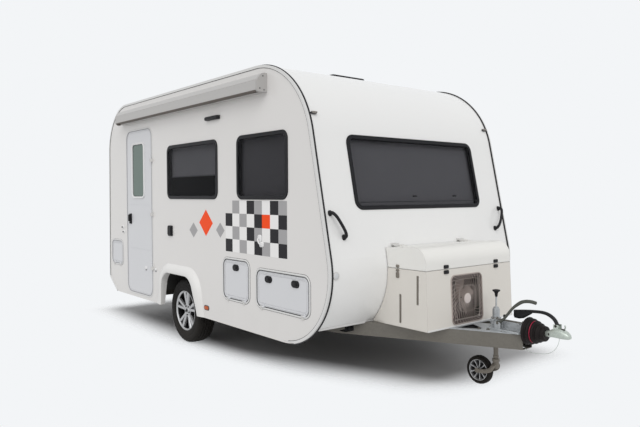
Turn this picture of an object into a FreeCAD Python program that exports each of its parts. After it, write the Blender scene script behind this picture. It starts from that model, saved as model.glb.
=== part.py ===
import FreeCAD, Part
import math
import os
import re
import Sketcher
from types import SimpleNamespace
from FreeCAD import Placement, Rotation, Vector

# Travel caravan, single axle, parked on its road wheels and jockey wheel.
# +X points forward to the coupling, +Y to the left, +Z up from the ground.
# Pieces are drawn about the point on the ground midway between the road wheels.
# Each node is then moved by frame_shift, so that the origin is below the middle of the whole box.

doc = FreeCAD.newDocument("travel_caravan")
sheet = doc.addObject("Spreadsheet::Sheet", "sizes")

# Main sizes in millimetres. "Ahead" and "behind" are measured from the road wheels.
dimensions = {
    # Cabin body
    "body_width": 2210,  # over the two side walls
    "wall": 32,  # sandwich walls and entrance door
    "shell": 34,  # front, roof and rear panels
    "roof_height": 2565,  # roof skin above the ground
    "skirt_height": 342,  # lower edge of the side walls above the ground
    "front_top_corner": 2036,  # sharp corner of roof line and raked front, ahead
    "front_low_corner": 2517,  # sharp corner of raked front and skirt line, ahead
    "front_top_radius": 738,  # arc between roof and raked front
    "front_low_radius": 572,  # arc between raked front and skirt
    "rear_top_corner": 1849,  # sharp corner of roof line and rear, behind
    "rear_low_corner": 1889,  # upper end of the cut-off rear corner, behind
    "rear_low_rise": 505,  # upper end of the cut-off rear corner, above the ground
    "rear_cut_corner": 1650,  # lower end of the cut-off rear corner, behind
    "rear_top_radius": 540,  # arc between roof and rear
    "rear_low_radius": 60,  # arcs at both ends of the cut-off rear corner
    "floor_thickness": 45,  # sandwich floor
    "sill_height": 500,  # lower edge of the front panel, also the floor's underside
    "rear_sill_height": 440,  # lower edge of the rear panel
    "trim_proud": 4,  # edge trim outside the skin
    "trim_flange": 18,  # edge trim's width on each skin
    # Side windows
    "window_below_roof": 548,  # upper edge of the side window frames below the roof
    "window_rise": 550,  # height of the side window frames
    "window_corner": 75,  # corner radius of the window frames
    "middle_window_rear": -236,  # rear edge of the middle window, ahead
    "middle_window_length": 1035,
    "side_window_setback": 157,  # forward side window's front edge behind the roof's front corner
    "side_window_length": 749,
    "frame_band": 32,  # visible width of a window frame
    "frame_lap": 14,  # how far a frame laps over the skin round its cut-out
    "frame_proud": 9,  # window frame outside the skin
    "pane": 6,  # acrylic panes
    # Front and rear windows
    "front_window_inset": 335,  # end of the front window frame inside the side wall's skin
    "front_window_below_roof": 592,
    "front_window_rise": 585,
    "rear_window_inset": 585,  # end of the rear window frame inside the side wall's skin
    "rear_window_below_roof": 605,
    "rear_window_rise": 530,
    # Entrance door
    "door_rear": -1305,  # rear edge of the door leaf, ahead
    "door_length": 679,
    "door_above_skirt": 56,
    "door_below_roof": 330,
    "door_corner": 95,  # corner radius of the door leaf
    "leaf_gap": 6,  # gap round the door and the hatches
    "door_window_rear": 167,  # door window ahead of the leaf's rear edge
    "door_window_length": 313,
    "door_window_below": 148,  # door window below the leaf's upper edge
    "door_window_rise": 600,
    "door_window_corner": 45,
    "door_knuckle": 9,  # radius of the door hinge knuckles
    "door_pin": 4,  # radius of the door hinge pins
    "door_pin_out": 13,  # door hinge pins outside the skin
    "door_hinge_length": 36,  # each half of a door hinge
    "door_handle_in": 98,  # door handle ahead of the leaf's rear edge
    "door_handle_rise": 780,  # door handle above the leaf's lower edge
    "door_handle_plate": 118,  # height of the handle's base plate
    "door_handle_proud": 36,  # handle outside the skin
    "step_depth": 235,  # entrance step well, inwards from the wall
    "step_drop": 100,  # underside of the step well below the floor
    # Locker hatches in the right wall
    "front_hatch_setback": 382,  # larger hatch's front edge behind the front panel's lower corner
    "front_hatch_length": 698,
    "front_hatch_low": 589,  # above the ground
    "front_hatch_rise": 292,
    "hatch_spacing": 131,  # between the two hatches
    "middle_hatch_length": 409,
    "middle_hatch_low": 591,
    "middle_hatch_rise": 340,
    "service_hatch_ahead": 99,  # ahead of the cut-off rear corner's upper end
    "service_hatch_length": 323,
    "service_hatch_low": 690,
    "service_hatch_rise": 265,
    "hatch_corner": 55,
    "hatch_knuckle": 6,  # radius of the hatch hinge knuckles
    "hatch_pin": 2.5,  # radius of the hatch hinge pins
    "hatch_pin_out": 8,  # hatch hinge pins outside the skin
    "hatch_hinge_length": 26,  # each half of a hatch hinge
    "hatch_hinge_in": 85,  # hatch hinges inside the leaf's ends
    "lock_radius": 19,  # round hatch locks
    "lock_proud": 6,  # round hatch locks outside the skin
    "lock_below": 62,  # middle of the locks below the leaf's upper edge
    "seat_gap": 0.3,  # clearance of faces that close on each other
    "running_gap": 0.4,  # clearance of hinge pins and other turning parts
    "overcut": 2,  # how far a cutting tool runs past the face it cuts
    # Wheels and arches
    "tyre_radius": 327,
    "tyre_width": 195,
    "rim_radius": 190.5,  # bead seat of the road wheel
    "flange_radius": 203,  # flange of the road wheel
    "wheel_inset": 155,  # wheel centre plane inside the skin of the side wall
    "arch_ahead": 75,  # half the arch opening at the skirt, more than the tyre's radius
    "arch_taper": 90,  # half the arch opening at its top, less than at the skirt
    "arch_above": 50,  # arch opening above the tyre
    "arch_corner": 165,
    "flare_band": 93,  # arch flare above the opening
    "flare_foot": 130,  # arch flare ahead of the opening at the skirt
    "flare_shoulder": 118,  # half the flare's top, more than the opening's
    "flare_corner": 270,
    "flare_proud": 42,  # arch flare outside the skin
    "housing_depth": 300,  # wheel housing, inwards from the wall
    "housing_skin": 5,
    # Awning in its case
    "awning_rear": -1400,  # rear end of the awning case, ahead
    "awning_length": 3000,
    "awning_below_roof": 232,  # underside of the awning case below the roof
    "awning_rise": 152,
    "awning_proud": 98,  # awning case outside the skin
    "awning_cap": 26,  # length of each end cap
    # Chassis
    "beam_rise": 108,  # chassis rails and drawbar beams, below the floor
    "rail_flange": 52,
    "rail_sheet": 5,
    "rail_inset": 385,  # outer side of the chassis rails inside the side wall's skin
    "rail_rear": -1680,  # rear end of the chassis rails, ahead
    "jacking_place": 520,  # rear edge of the jacking plates under the rails, ahead
    "jacking_length": 160,
    "bend_setback": 542,  # start of the drawbar beams behind the front panel's lower corner
    "beam_reach": 752,  # front end of the drawbar beams ahead of the front panel's lower corner
    "beam_front_half": 60,  # outer side of the drawbar beams at their front end
    "plate_sheet": 6,  # drawbar plates
    "plate_length": 469,  # drawbar top plate
    "cross_member": 50,  # width of the cross members
    "axle_radius": 52,  # torsion axle tube
    "axle_forward": 150,  # axle tube ahead of the wheel centres
    "axle_seat": 150,  # length of the axle's seats under the rails
    "arm_thickness": 34,
    "arm_end_radius": 44,
    "arm_inset": 93,  # outer faces of the swing arms inside the wheel centre planes
    "stub_radius": 22,
    "hub_bore": 22.6,
    "drum_radius": 128,
    "drum_width": 92,
    "backplate": 8,
    # Coupling, overrun device and handbrake
    "shaft_height": 528,  # axis of the overrun shaft above the ground
    "shaft_tube": 27,  # radius of the overrun housing's tube
    "shaft_radius": 21,
    "housing_length": 290,  # overrun housing behind the beams' front end
    "housing_base_width": 104,
    "housing_base_rise": 14,
    "saddle_width": 66,
    "saddle_rise": 64,
    "saddle_in": 25,  # saddle inside each end of the housing
    "bellows_rear_radius": 98,
    "bellows_front_radius": 54,
    "bellows_length": 151,
    "bellows_fold": 12,  # depth of the folds
    "coupling_length": 178,  # coupling head ahead of the bellows
    "ball_setback": 50,  # ball socket behind the coupling's nose
    "ball_radius": 25.4,
    "ball_depth": 46,
    "coupling_low": 512,  # underside of the coupling head above the ground
    "coupling_neck": 32,  # half width of the coupling head at the bellows
    "coupling_half": 36,  # half width of the coupling head at the ball
    "coupling_rise": 62,  # height of the coupling head
    "handle_width": 40,
    "handle_back": 48,  # handle pin behind the ball's centre
    "handle_rise": 84,  # handle pin above the underside of the coupling head
    "lever_offset": 72,  # handbrake lever to the right of the centre plane
    "lever_sheet": 16,
    "lever_pin_radius": 6,
    "lever_ahead": 97,  # handbrake lever's pin ahead of the overrun housing's rear end
    "lever_height": 560,
    # Jockey wheel
    "jockey_side": 125,  # jockey wheel to the left of the centre plane
    "jockey_setback": 351,  # jockey wheel post behind the beams' front end
    "jockey_trail": 148,  # jockey wheel axle behind its post
    "jockey_radius": 112,
    "jockey_width": 62,
    "post_radius": 30,  # outer tube
    "leg_radius": 24,  # inner tube
    "post_top": 655,
    "post_low": 385,
    "collar_proud": 12,
    "collar_rise": 46,
    "leg_low": 262,
    "leg_length": 236,
    "swivel_radius": 11,
    "swivel_length": 34,  # swivel pin below the inner tube, down to its nut
    "fork_gap": 5,  # beside the jockey tyre
    "fork_sheet": 6,
    "crank_top": 768,
    "crank_knob": 28,
    # Corner steadies
    "steady_place": 1560,  # hinge pins of the steadies, ahead and behind
    "steady_inset": 325,  # middle of the steadies inside the side wall's skin
    "steady_length": 425,  # from the hinge pin to the foot
    "steady_drop": 62,  # hinge pins below the floor
    "steady_width": 44,
    "steady_depth": 26,
    "steady_sheet": 4,
    "steady_pin": 6,
    "foot_length": 84,
    "foot_height": 50,
    # Front storage box
    "box_half": 525,
    "box_reach": 276,  # bottom of the box's front ahead of the front panel's lower corner
    "box_lean": 22,  # lean of the box's front over its height
    "box_seam": 942,  # lid seam above the ground
    "box_wall": 18,
    "box_gap": 4,  # between the box and the front panel
    "box_foot_radius": 14,
    "seam_gap": 3,
    "lid_rear_top": 1098,  # top of the lid at the front panel
    "lid_front_top": 1122,
    "lid_front_radius": 118,
    "lid_pin_reach": 127,  # hinge pins of the lid behind the front panel's lower corner
    "seal_setback": 120,  # rear end of the lid's seal behind the front panel's lower corner
    "lid_leaf": 10,
    "lid_hinge_length": 50,  # each half of a lid hinge
    "lid_hinge_in": 120,  # lid hinges inside the box's sides
    "lid_plate_length": 60,  # fixed leaves of the lid hinges, back to the front panel
    "lid_plate_rise": 16,
    "cooler_length": 210,
    "cooler_width": 480,
    "cooler_height": 395,
    "cooler_back": 121,  # front of the air conditioner behind the box's front
    "fan_side": -59,  # middle of the fan grille to the left of the centre plane
    "fan_height": 703,
    "fan_motor_radius": 34,
    "fan_motor_length": 16,
    "fan_shaft_radius": 5,
    "fan_shaft_length": 58,
    "fan_hub_radius": 32,
    "fan_hub_length": 34,
    "fan_radius": 158,
    "blade_root": 44,  # width of a fan blade at the hub
    "blade_tip": 88,
    "blade_sheet": 3,
    "blade_pitch": 32,  # degrees
    "grille_half_width": 192,
    "grille_half_height": 190,
    "grille_corner": 46,
    "grille_band": 30,
    "grille_lap": 24,  # how far the grille's frame laps over the box round its opening
    "grille_depth": 8,
    "grille_wire": 3,
    "grille_hub": 44,
    "grille_spokes": 24,
    "slot_width": 12,  # slots in the box's sides
    "slot_rise": 218,
    "front_slot_setback": 98,  # middle of the front slots behind the box's front
    "front_slot_low": 688,
    "rear_slot_setback": 271,
    "rear_slot_low": 530,
    # Roof ventilator
    "vent_rear": 835,  # rear edge of the roof ventilator, ahead
    "vent_length": 430,
    "vent_half": 215,
    "vent_base": 24,  # frame above the roof
    "vent_lid": 40,
    "vent_flange": 30,
    "vent_lid_lap": 6,  # ventilator's lid outside its frame
    "vent_lid_slope": 38,  # lid's top inside its lower edge
    "vent_hinge_length": 40,
    "vent_hinge_in": 70,  # ventilator hinges inside the frame's sides
    "vent_pin_out": 12,  # hinge pins of the ventilator's lid ahead of its frame
    # Grab handles on the front panel
    "grab_high": 1370,
    "grab_low": 1185,
    "grab_inset_high": 70,  # upper feet inside the side wall's skin
    "grab_inset_low": 172,
    "grab_bar": 22,
    "grab_bend": 42,  # outer radius of the handles' bends
    "grab_proud": 58,
    # Lamps and rear bumper
    "marker_height": 2125,  # upper marker lamps on the front panel
    "marker_inset": 62,  # upper marker lamps inside the side wall's skin
    "marker_radius": 32,
    "marker_proud": 24,
    "side_marker_ahead": 572,  # side marker lamps in the skirt
    "side_marker_height": 442,
    "side_marker_half": 48,
    "side_marker_rise": 46,
    "side_marker_proud": 9,
    "porch_lamp_rear": 609,  # lamp below the awning
    "porch_lamp_length": 239,
    "porch_lamp_below": 105,  # below the awning case
    "porch_lamp_rise": 34,
    "porch_lamp_proud": 38,
    "rear_lamp_inset": 210,  # middle of the rear lamps inside the side wall's skin
    "rear_lamp_height": 735,
    "rear_lamp_half": 62,
    "rear_lamp_rise": 250,
    "rear_lamp_proud": 14,
    "bumper_inset": 95,  # ends of the rear bumper inside the side wall's skin
    "bumper_low": 508,
    "bumper_rise": 96,
    "bumper_proud": 22,
}

# Places that follow from the sizes above
places = {
    "half_width": "body_width / 2",
    "roof_front_joint": "front_top_corner - front_top_radius",
    "roof_rear_joint": "rear_top_corner - rear_top_radius",
    "window_high": "roof_height - window_below_roof",
    "window_low": "window_high - window_rise",
    "middle_window_front": "middle_window_rear + middle_window_length",
    "side_window_front": "front_top_corner - side_window_setback",
    "side_window_rear": "side_window_front - side_window_length",
    "front_window_half": "half_width - front_window_inset",
    "front_window_high": "roof_height - front_window_below_roof",
    "front_window_low": "front_window_high - front_window_rise",
    "rear_window_half": "half_width - rear_window_inset",
    "rear_window_high": "roof_height - rear_window_below_roof",
    "rear_window_low": "rear_window_high - rear_window_rise",
    "door_front": "door_rear + door_length",
    "door_low": "skirt_height + door_above_skirt",
    "door_high": "roof_height - door_below_roof",
    "front_hatch_front": "front_low_corner - front_hatch_setback",
    "front_hatch_rear": "front_hatch_front - front_hatch_length",
    "middle_hatch_front": "front_hatch_rear - hatch_spacing",
    "middle_hatch_rear": "middle_hatch_front - middle_hatch_length",
    "service_hatch_rear": "service_hatch_ahead - rear_low_corner",
    "service_hatch_front": "service_hatch_rear + service_hatch_length",
    "arch_half_low": "tyre_radius + arch_ahead",
    "arch_half_high": "arch_half_low - arch_taper",
    "arch_top": "2 * tyre_radius + arch_above",
    "flare_half_low": "arch_half_low + flare_foot",
    "flare_half_high": "arch_half_high + flare_shoulder",
    "flare_top": "arch_top + flare_band",
    "awning_low": "roof_height - awning_below_roof",
    "awning_front": "awning_rear + awning_length",
    "middle_hatch_high": "middle_hatch_low + middle_hatch_rise",
    "front_hatch_high": "front_hatch_low + front_hatch_rise",
    "service_hatch_high": "service_hatch_low + service_hatch_rise",
    "step_height": "sill_height - step_drop",
    "rail_low": "sill_height - beam_rise",
    "rail_half": "half_width - rail_inset",
    "bend_place": "front_low_corner - bend_setback",
    "beam_front": "front_low_corner + beam_reach",
    "plate_rear": "beam_front - plate_length",
    "axle_height": "rail_low - plate_sheet - axle_radius",
    "wheel_side": "half_width - wheel_inset",
    "arm_side": "wheel_side - arm_inset",
    "housing_rear": "beam_front - housing_length",
    "coupling_rear": "beam_front + bellows_length",
    "coupling_nose": "coupling_rear + coupling_length",
    "ball_place": "coupling_nose - ball_setback",
    "handle_pin_place": "ball_place - handle_back",
    "handle_pin_height": "coupling_low + handle_rise",
    "lever_place": "housing_rear + lever_ahead",
    "jockey_place": "beam_front - jockey_setback",
    "jockey_axle": "jockey_place - jockey_trail",
    "steady_half": "half_width - steady_inset",
    "steady_height": "sill_height - steady_drop",
    "box_front_low": "front_low_corner + box_reach",
    "box_front_high": "box_front_low - box_lean",
    "lid_pin_place": "front_low_corner - lid_pin_reach",
    "lid_pin_height": "lid_rear_top + lid_leaf",
    "seal_rear": "front_low_corner - seal_setback",
    "cooler_front": "box_front_low - cooler_back",
    "vent_front": "vent_rear + vent_length",
    "vent_pin_place": "vent_front + vent_pin_out",
    "vent_pin_height": "roof_height + vent_base + hatch_knuckle",
    "frame_shift_x": "(rear_low_corner + bumper_proud - coupling_nose) / 2",
    "frame_shift_y": "(awning_proud - flare_proud) / 2",
}

aliases = list(dimensions) + list(places)


def cells(text, owner="sizes."):
    # Expressions outside the sheet name its cells through the sheet.
    return re.sub(r"[a-z][a-z_]*[a-z]", lambda m: owner + m.group(0) if m.group(0) in aliases else m.group(0), text)


for row, (alias, value) in enumerate({**dimensions, **places}.items(), start=1):
    cell = "B" + str(row)
    sheet.set("A" + str(row), alias.replace("_", " "))
    sheet.set(cell, "=" + value if isinstance(value, str) else str(value))
    sheet.setAlias(cell, alias)
doc.recompute()
mm = SimpleNamespace(**{alias: float(sheet.get(alias)) for alias in aliases})


def bind(item, **expressions):
    for prop, text in expressions.items():
        item.setExpression(prop.replace("__", "."), cells(text))
    return item


def at(item, x="0", y="0", z="0"):
    return bind(item, Placement__Base__x=x, Placement__Base__y=y, Placement__Base__z=z)


def block(name, length, width, height, x="0", y="0", z="0"):
    item = doc.addObject("Part::Box", name)
    bind(item, Length=length, Width=width, Height=height)
    return at(item, x, y, z)


along = {
    "+x": Rotation(Vector(0, 1, 0), 90), "-x": Rotation(Vector(0, 1, 0), -90),
    "+y": Rotation(Vector(1, 0, 0), -90), "-y": Rotation(Vector(1, 0, 0), 90),
    "+z": Rotation(), "-z": Rotation(Vector(1, 0, 0), 180),
}


def rod(name, radius, length, direction, x="0", y="0", z="0"):
    item = doc.addObject("Part::Cylinder", name)
    bind(item, Radius=radius, Height=length)
    item.Placement = Placement(Vector(), along[direction])
    return at(item, x, y, z)


def taper(name, radius_start, radius_end, length, direction, x="0", y="0", z="0"):
    item = doc.addObject("Part::Cone", name)
    bind(item, Radius1=radius_start, Radius2=radius_end, Height=length)
    item.Placement = Placement(Vector(), along[direction])
    return at(item, x, y, z)


def cut(name, base, *tools):
    tool = tools[0] if len(tools) == 1 else fuse(name + "_tools", *tools)
    item = doc.addObject("Part::Cut", name)
    item.Base = base
    item.Tool = tool
    return item


def fuse(name, *items):
    if len(items) == 1:
        return items[0]
    item = doc.addObject("Part::MultiFuse", name)
    item.Shapes = list(items)
    return item


def common(name, base, tool):
    item = doc.addObject("Part::Common", name)
    item.Base = base
    item.Tool = tool
    return item


def mirrored(name, source):
    item = doc.addObject("Part::Mirroring", name)
    item.Source = source
    item.Normal = Vector(0, 1, 0)
    return item


# Outlines, as lines with tangent arcs at their corners

touching = 0.001  # ends of two curves that are nearer than this are joined


def rounded(points, radii):
    count = len(points)
    if not isinstance(radii, (list, tuple)):
        radii = [radii] * count
    corners = [Vector(x, y, 0) for x, y in points]
    ends = []
    for i in range(count):
        corner = corners[i]
        to_last = (corners[i - 1] - corner).normalize()
        to_next = (corners[(i + 1) % count] - corner).normalize()
        half_angle = to_last.getAngle(to_next) / 2
        reach = radii[i] / math.tan(half_angle)
        middle = (to_last + to_next).normalize()
        crown = corner + middle * (radii[i] / math.sin(half_angle) - radii[i])
        ends.append((corner + to_last * reach, crown, corner + to_next * reach))
    curves = []
    for i in range(count):
        start, crown, stop = ends[i]
        if radii[i] > 0:
            curves.append(Part.Arc(start, crown, stop))
        following = ends[(i + 1) % count][0]
        if stop.distanceToPoint(following) > touching:
            curves.append(Part.LineSegment(stop, following))
    return curves


def rectangle(x_low, y_low, x_high, y_high, radius=0):
    return rounded([(x_low, y_low), (x_high, y_low), (x_high, y_high), (x_low, y_high)], radius)


def circle(x, y, radius):
    return [Part.Circle(Vector(x, y, 0), Vector(0, 0, 1), radius)]


def moved_in(points, distance):
    # Moves every side of an anticlockwise outline inwards and finds its new corners.
    count = len(points)
    result = []
    for i in range(count):
        before = Vector(*points[i - 1], 0)
        corner = Vector(*points[i], 0)
        after = Vector(*points[(i + 1) % count], 0)
        along_in = (corner - before).normalize()
        along_out = (after - corner).normalize()
        normal_in = Vector(-along_in.y, along_in.x, 0)
        normal_out = Vector(-along_out.y, along_out.x, 0)
        step = (normal_in + normal_out) * (distance / (1 + normal_in.dot(normal_out)))
        result.append((corner.x + step.x, corner.y + step.y))
    return result


planes = {"XY": "XY_Plane", "XZ": "XZ_Plane", "YZ": "YZ_Plane"}


def sketch_on(body, name, plane, outlines, offset="0"):
    # The offset is measured along the plane's positive axis: Z, Y or X.
    origin_plane = [f for f in body.Origin.OriginFeatures if f.Role == planes[plane]][0]
    item = body.newObject("Sketcher::SketchObject", name)
    item.AttachmentSupport = (origin_plane, "")
    item.MapMode = "FlatFace"
    sign = "-" if plane == "XZ" else ""
    item.setExpression("AttachmentOffset.Base.z", cells(sign + "(" + offset + ")"))
    for curves in outlines:
        first = item.GeometryCount
        item.addGeometry(curves, False)
        for i in range(len(curves) if len(curves) > 1 else 0):
            one = first + i
            two = first + (i + 1) % len(curves)
            pairs = [(a, b) for a in (2, 1) for b in (1, 2)]
            for a, b in pairs:
                if item.getPoint(one, a).distanceToPoint(item.getPoint(two, b)) < touching:
                    item.addConstraint(Sketcher.Constraint("Coincident", one, a, two, b))
                    break
    return item


def slab(name, plane, outlines, thickness, offset="0"):
    # A padded outline that runs from the offset along the plane's positive axis.
    body = doc.addObject("PartDesign::Body", name)
    sketch = sketch_on(body, name + "_sketch", plane, outlines, offset)
    pad = body.newObject("PartDesign::Pad", name + "_pad")
    pad.Profile = sketch
    pad.Reversed = plane == "XZ"
    bind(pad, Length=thickness)
    return body


def turned(name, outline_points, radii=0):
    # A solid of revolution about the Y axis, from points (y, radius).
    body = doc.addObject("PartDesign::Body", name)
    sketch = sketch_on(body, name + "_sketch", "YZ", [rounded(outline_points, radii)])
    spin = body.newObject("PartDesign::Revolution", name + "_turn")
    spin.Profile = sketch
    spin.ReferenceAxis = (sketch, ["H_Axis"])
    spin.Angle = 360
    return body


nodes = []


def node(label, *items):
    # One named piece, or several like pieces that do not touch, moved into the object's frame.
    for other in doc.getObjectsByLabel(label):
        other.Label = label + "_solid"
    item = doc.addObject("Part::Compound", "node_" + label)
    item.Links = list(items)
    item.Label = label
    at(item, "frame_shift_x", "frame_shift_y")
    nodes.append(item)
    return item


def hinge(name, axis, radius, pin, length, place, leaf, plate):
    # The moving half with its leaf, and the fixed half with its plate and the pin through both.
    letter = axis[-1]
    fixed_place = {**place, letter: place[letter] + " - " + length + " - seat_gap"}
    bore_place = {**place, letter: place[letter] + " - overcut"}
    knuckle = rod(name + "_knuckle", radius, length, axis, **place)
    bore = rod(name + "_bore", pin + " + running_gap", length + " + 2 * overcut", axis, **bore_place)
    socket = rod(name + "_socket", radius, length, axis, **fixed_place)
    hinge_pin = rod(name + "_pin", pin, "2 * " + length + " - overcut", axis, **fixed_place)
    moving = cut(name + "_moving", fuse(name + "_moving_full", leaf, knuckle), bore)
    return moving, fuse(name + "_fixed", plate, socket, hinge_pin)


half = mm.half_width
right_skin = "-half_width"
left_skin = "half_width"

# Side profile of the cabin, anticlockwise in the XZ plane

profile_points = [
    (-mm.rear_cut_corner, mm.skirt_height),
    (mm.front_low_corner, mm.skirt_height),
    (mm.front_top_corner, mm.roof_height),
    (-mm.rear_top_corner, mm.roof_height),
    (-mm.rear_low_corner, mm.rear_low_rise),
]
profile_radii = [
    mm.rear_low_radius, mm.front_low_radius, mm.front_top_radius, mm.rear_top_radius, mm.rear_low_radius,
]


def profile(inwards=0):
    return rounded(moved_in(profile_points, inwards), [r - inwards for r in profile_radii])


def skin_layer(name, proud, inwards=0):
    # A layer on the front, roof and rear panels, from below the skin to outside it.
    return slab(name, "XZ", [profile(-proud), profile(inwards)], "body_width", right_skin)


# Side walls

door_hole = rectangle(mm.door_rear - mm.leaf_gap, mm.door_low - mm.leaf_gap, mm.door_front + mm.leaf_gap,
                      mm.door_high + mm.leaf_gap, mm.door_corner + mm.leaf_gap)
hatch_sizes = {
    "middle_hatch": (mm.middle_hatch_rear, mm.middle_hatch_low, mm.middle_hatch_front, mm.middle_hatch_high),
    "front_hatch": (mm.front_hatch_rear, mm.front_hatch_low, mm.front_hatch_front, mm.front_hatch_high),
    "service_hatch": (mm.service_hatch_rear, mm.service_hatch_low, mm.service_hatch_front, mm.service_hatch_high),
}
window_sizes = {
    "middle_window": (mm.middle_window_rear, mm.window_low, mm.middle_window_front, mm.window_high),
    "side_window": (mm.side_window_rear, mm.window_low, mm.side_window_front, mm.window_high),
}


def grown(box, distance, radius):
    x_low, y_low, x_high, y_high = box
    return rectangle(x_low - distance, y_low - distance, x_high + distance, y_high + distance, radius + distance)


window_holes = [grown(box, -mm.frame_lap, mm.window_corner) for box in window_sizes.values()]
hatch_holes = [grown(box, mm.leaf_gap, mm.hatch_corner) for box in hatch_sizes.values()]
arch_points = [
    (-mm.arch_half_low, mm.skirt_height), (mm.arch_half_low, mm.skirt_height),
    (mm.arch_half_high, mm.arch_top), (-mm.arch_half_high, mm.arch_top),
]


arch_below = 60  # how far the arch's outline runs on below the skirt


def arch(outwards=0, depth_below=arch_below):
    # The wheel arch's outline, carried on below the skirt.
    points = moved_in(arch_points, -outwards)
    slope = (mm.arch_half_low - mm.arch_half_high) / (mm.arch_top - mm.skirt_height)
    low = mm.skirt_height - depth_below
    half_low = points[1][0] + slope * (points[1][1] - low)
    points[0] = (-half_low, low)
    points[1] = (half_low, low)
    return rounded(points, [0, 0, mm.arch_corner + outwards, mm.arch_corner + outwards])


right_wall = cut(
    "right_wall",
    slab("right_wall_sheet", "XZ", [profile(), door_hole] + window_holes + hatch_holes, "wall", right_skin),
    slab("right_wall_arch", "XZ", [arch()], "wall + 2 * overcut", right_skin + " - overcut"),
)
left_wall = cut(
    "left_wall",
    slab("left_wall_sheet", "XZ", [profile()] + window_holes, "wall", left_skin + " - wall"),
    slab("left_wall_arch", "XZ", [arch()], "wall + 2 * overcut", left_skin + " - wall - overcut"),
)
node("side_wall_right", right_wall)
node("side_wall_left", left_wall)

# Front, roof and rear panels between the side walls

inner_width = "body_width - 2 * wall"
inner_right = right_skin + " + wall"
panel_ring = slab("panel_ring", "XZ", [profile(), profile(mm.shell)], inner_width, inner_right)


def window_cutter(name, window_half, low, high, side):
    reach = "front_low_corner - roof_front_joint" if side > 0 else "rear_low_corner - roof_rear_joint + trim_proud"
    start = "roof_front_joint" if side > 0 else "-rear_low_corner - trim_proud"
    outline = rectangle(-window_half, low, window_half, high, mm.window_corner - mm.frame_lap)
    return slab(name, "YZ", [outline], reach, start)


front_panel = cut(
    "front_panel",
    common("front_panel_blank", panel_ring,
           block("front_panel_span", "front_low_corner - roof_front_joint", inner_width, "roof_height",
                 "roof_front_joint",
                 inner_right, "sill_height")),
    window_cutter("front_window_cutter", mm.front_window_half - mm.frame_lap, mm.front_window_low + mm.frame_lap,
                  mm.front_window_high - mm.frame_lap, 1),
)
rear_panel = cut(
    "rear_panel",
    common("rear_panel_blank", panel_ring,
           block("rear_panel_span", "rear_low_corner - roof_rear_joint + overcut", inner_width, "roof_height",
                 "-rear_low_corner - overcut", inner_right, "rear_sill_height")),
    window_cutter("rear_window_cutter", mm.rear_window_half - mm.frame_lap, mm.rear_window_low + mm.frame_lap,
                  mm.rear_window_high - mm.frame_lap, -1),
)
roof_panel = cut(
    "roof_panel",
    common("roof_panel_blank", panel_ring,
           block("roof_panel_span", "roof_front_joint + roof_rear_joint", inner_width, "shell + 2 * overcut",
                 "-roof_rear_joint", inner_right, "roof_height - shell - overcut")),
    block("roof_vent_cutter", "vent_length - 2 * vent_flange", "2 * vent_half - 2 * vent_flange",
          "shell + 2 * overcut", "vent_rear + vent_flange", "vent_flange - vent_half",
          "roof_height - shell - overcut"),
)
node("front_panel", front_panel)
node("rear_panel", rear_panel)
node("roof_panel", roof_panel)

# Floor, with a step well inside the door and gaps for the wheel housings

step_length = "door_front - door_rear - 2 * leaf_gap"
inner_left = left_skin + " - wall"


def housing_gap(name, side):
    start = inner_right if side < 0 else inner_left + " - housing_depth - leaf_gap"
    return slab(name, "XZ", [arch(mm.housing_skin + mm.seat_gap)], "housing_depth + leaf_gap", start)


floor_core = slab("floor_core", "XZ", [profile(mm.shell)], inner_width, inner_right)
floor_sheet = cut(
    "floor_sheet",
    common("floor_blank", floor_core,
           block("floor_span", "front_low_corner + rear_low_corner", inner_width, "floor_thickness",
                 "-rear_low_corner", inner_right, "sill_height")),
    block("floor_step_gap", step_length, "step_depth", "floor_thickness + 2 * overcut",
          "door_rear + leaf_gap", inner_right, "sill_height - overcut"),
    housing_gap("floor_gap_right", -1),
    housing_gap("floor_gap_left", 1),
)
step_well = cut(
    "step_well",
    block("step_well_blank", step_length, "step_depth", "sill_height + floor_thickness - step_height",
          "door_rear + leaf_gap", inner_right, "step_height"),
    block("step_well_hollow", step_length + " - 2 * housing_skin", "step_depth - housing_skin + overcut",
          "sill_height + floor_thickness - step_height",
          "door_rear + leaf_gap + housing_skin", inner_right + " - overcut", "step_height + housing_skin"),
)
node("floor", fuse("floor_with_step", floor_sheet, step_well))

# Wheel housings, open below


def wheel_housing(name, side):
    start = inner_right if side < 0 else inner_left + " - housing_depth"
    skin = slab(name + "_skin", "XZ", [arch(mm.housing_skin, mm.skirt_height - mm.sill_height)], "housing_depth",
                start)
    hollow_start = inner_right + " - overcut" if side < 0 else inner_left + " - housing_depth + housing_skin"
    hollow = slab(name + "_hollow", "XZ", [arch()], "housing_depth - housing_skin + overcut", hollow_start)
    return cut(name, skin, hollow)


node("wheel_housings", wheel_housing("right_housing", -1), wheel_housing("left_housing", 1))

# Arch flares

flare_points = [
    (-mm.flare_half_low, mm.skirt_height), (mm.flare_half_low, mm.skirt_height),
    (mm.flare_half_high, mm.flare_top), (-mm.flare_half_high, mm.flare_top),
]


def flare_outline(inwards):
    points = moved_in(flare_points, inwards)
    slope = (mm.flare_half_low - mm.flare_half_high) / (mm.flare_top - mm.skirt_height)
    half_low = points[1][0] - slope * (mm.skirt_height - points[1][1])
    points[0] = (-half_low, mm.skirt_height)
    points[1] = (half_low, mm.skirt_height)
    return rounded(points, [0, 0, mm.flare_corner - inwards, mm.flare_corner - inwards])


def lofted(name, sections, ruled=True):
    # A solid through outlines that stand at their own distances along +Y.
    body = doc.addObject("PartDesign::Body", name)
    sketches = [sketch_on(body, name + "_section_" + str(i), "XZ", [outline], place)
                for i, (outline, place) in enumerate(sections)]
    loft = body.newObject("PartDesign::AdditiveLoft", name + "_loft")
    loft.Profile = sketches[0]
    loft.Sections = sketches[1:]
    loft.Ruled = ruled
    return body


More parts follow.
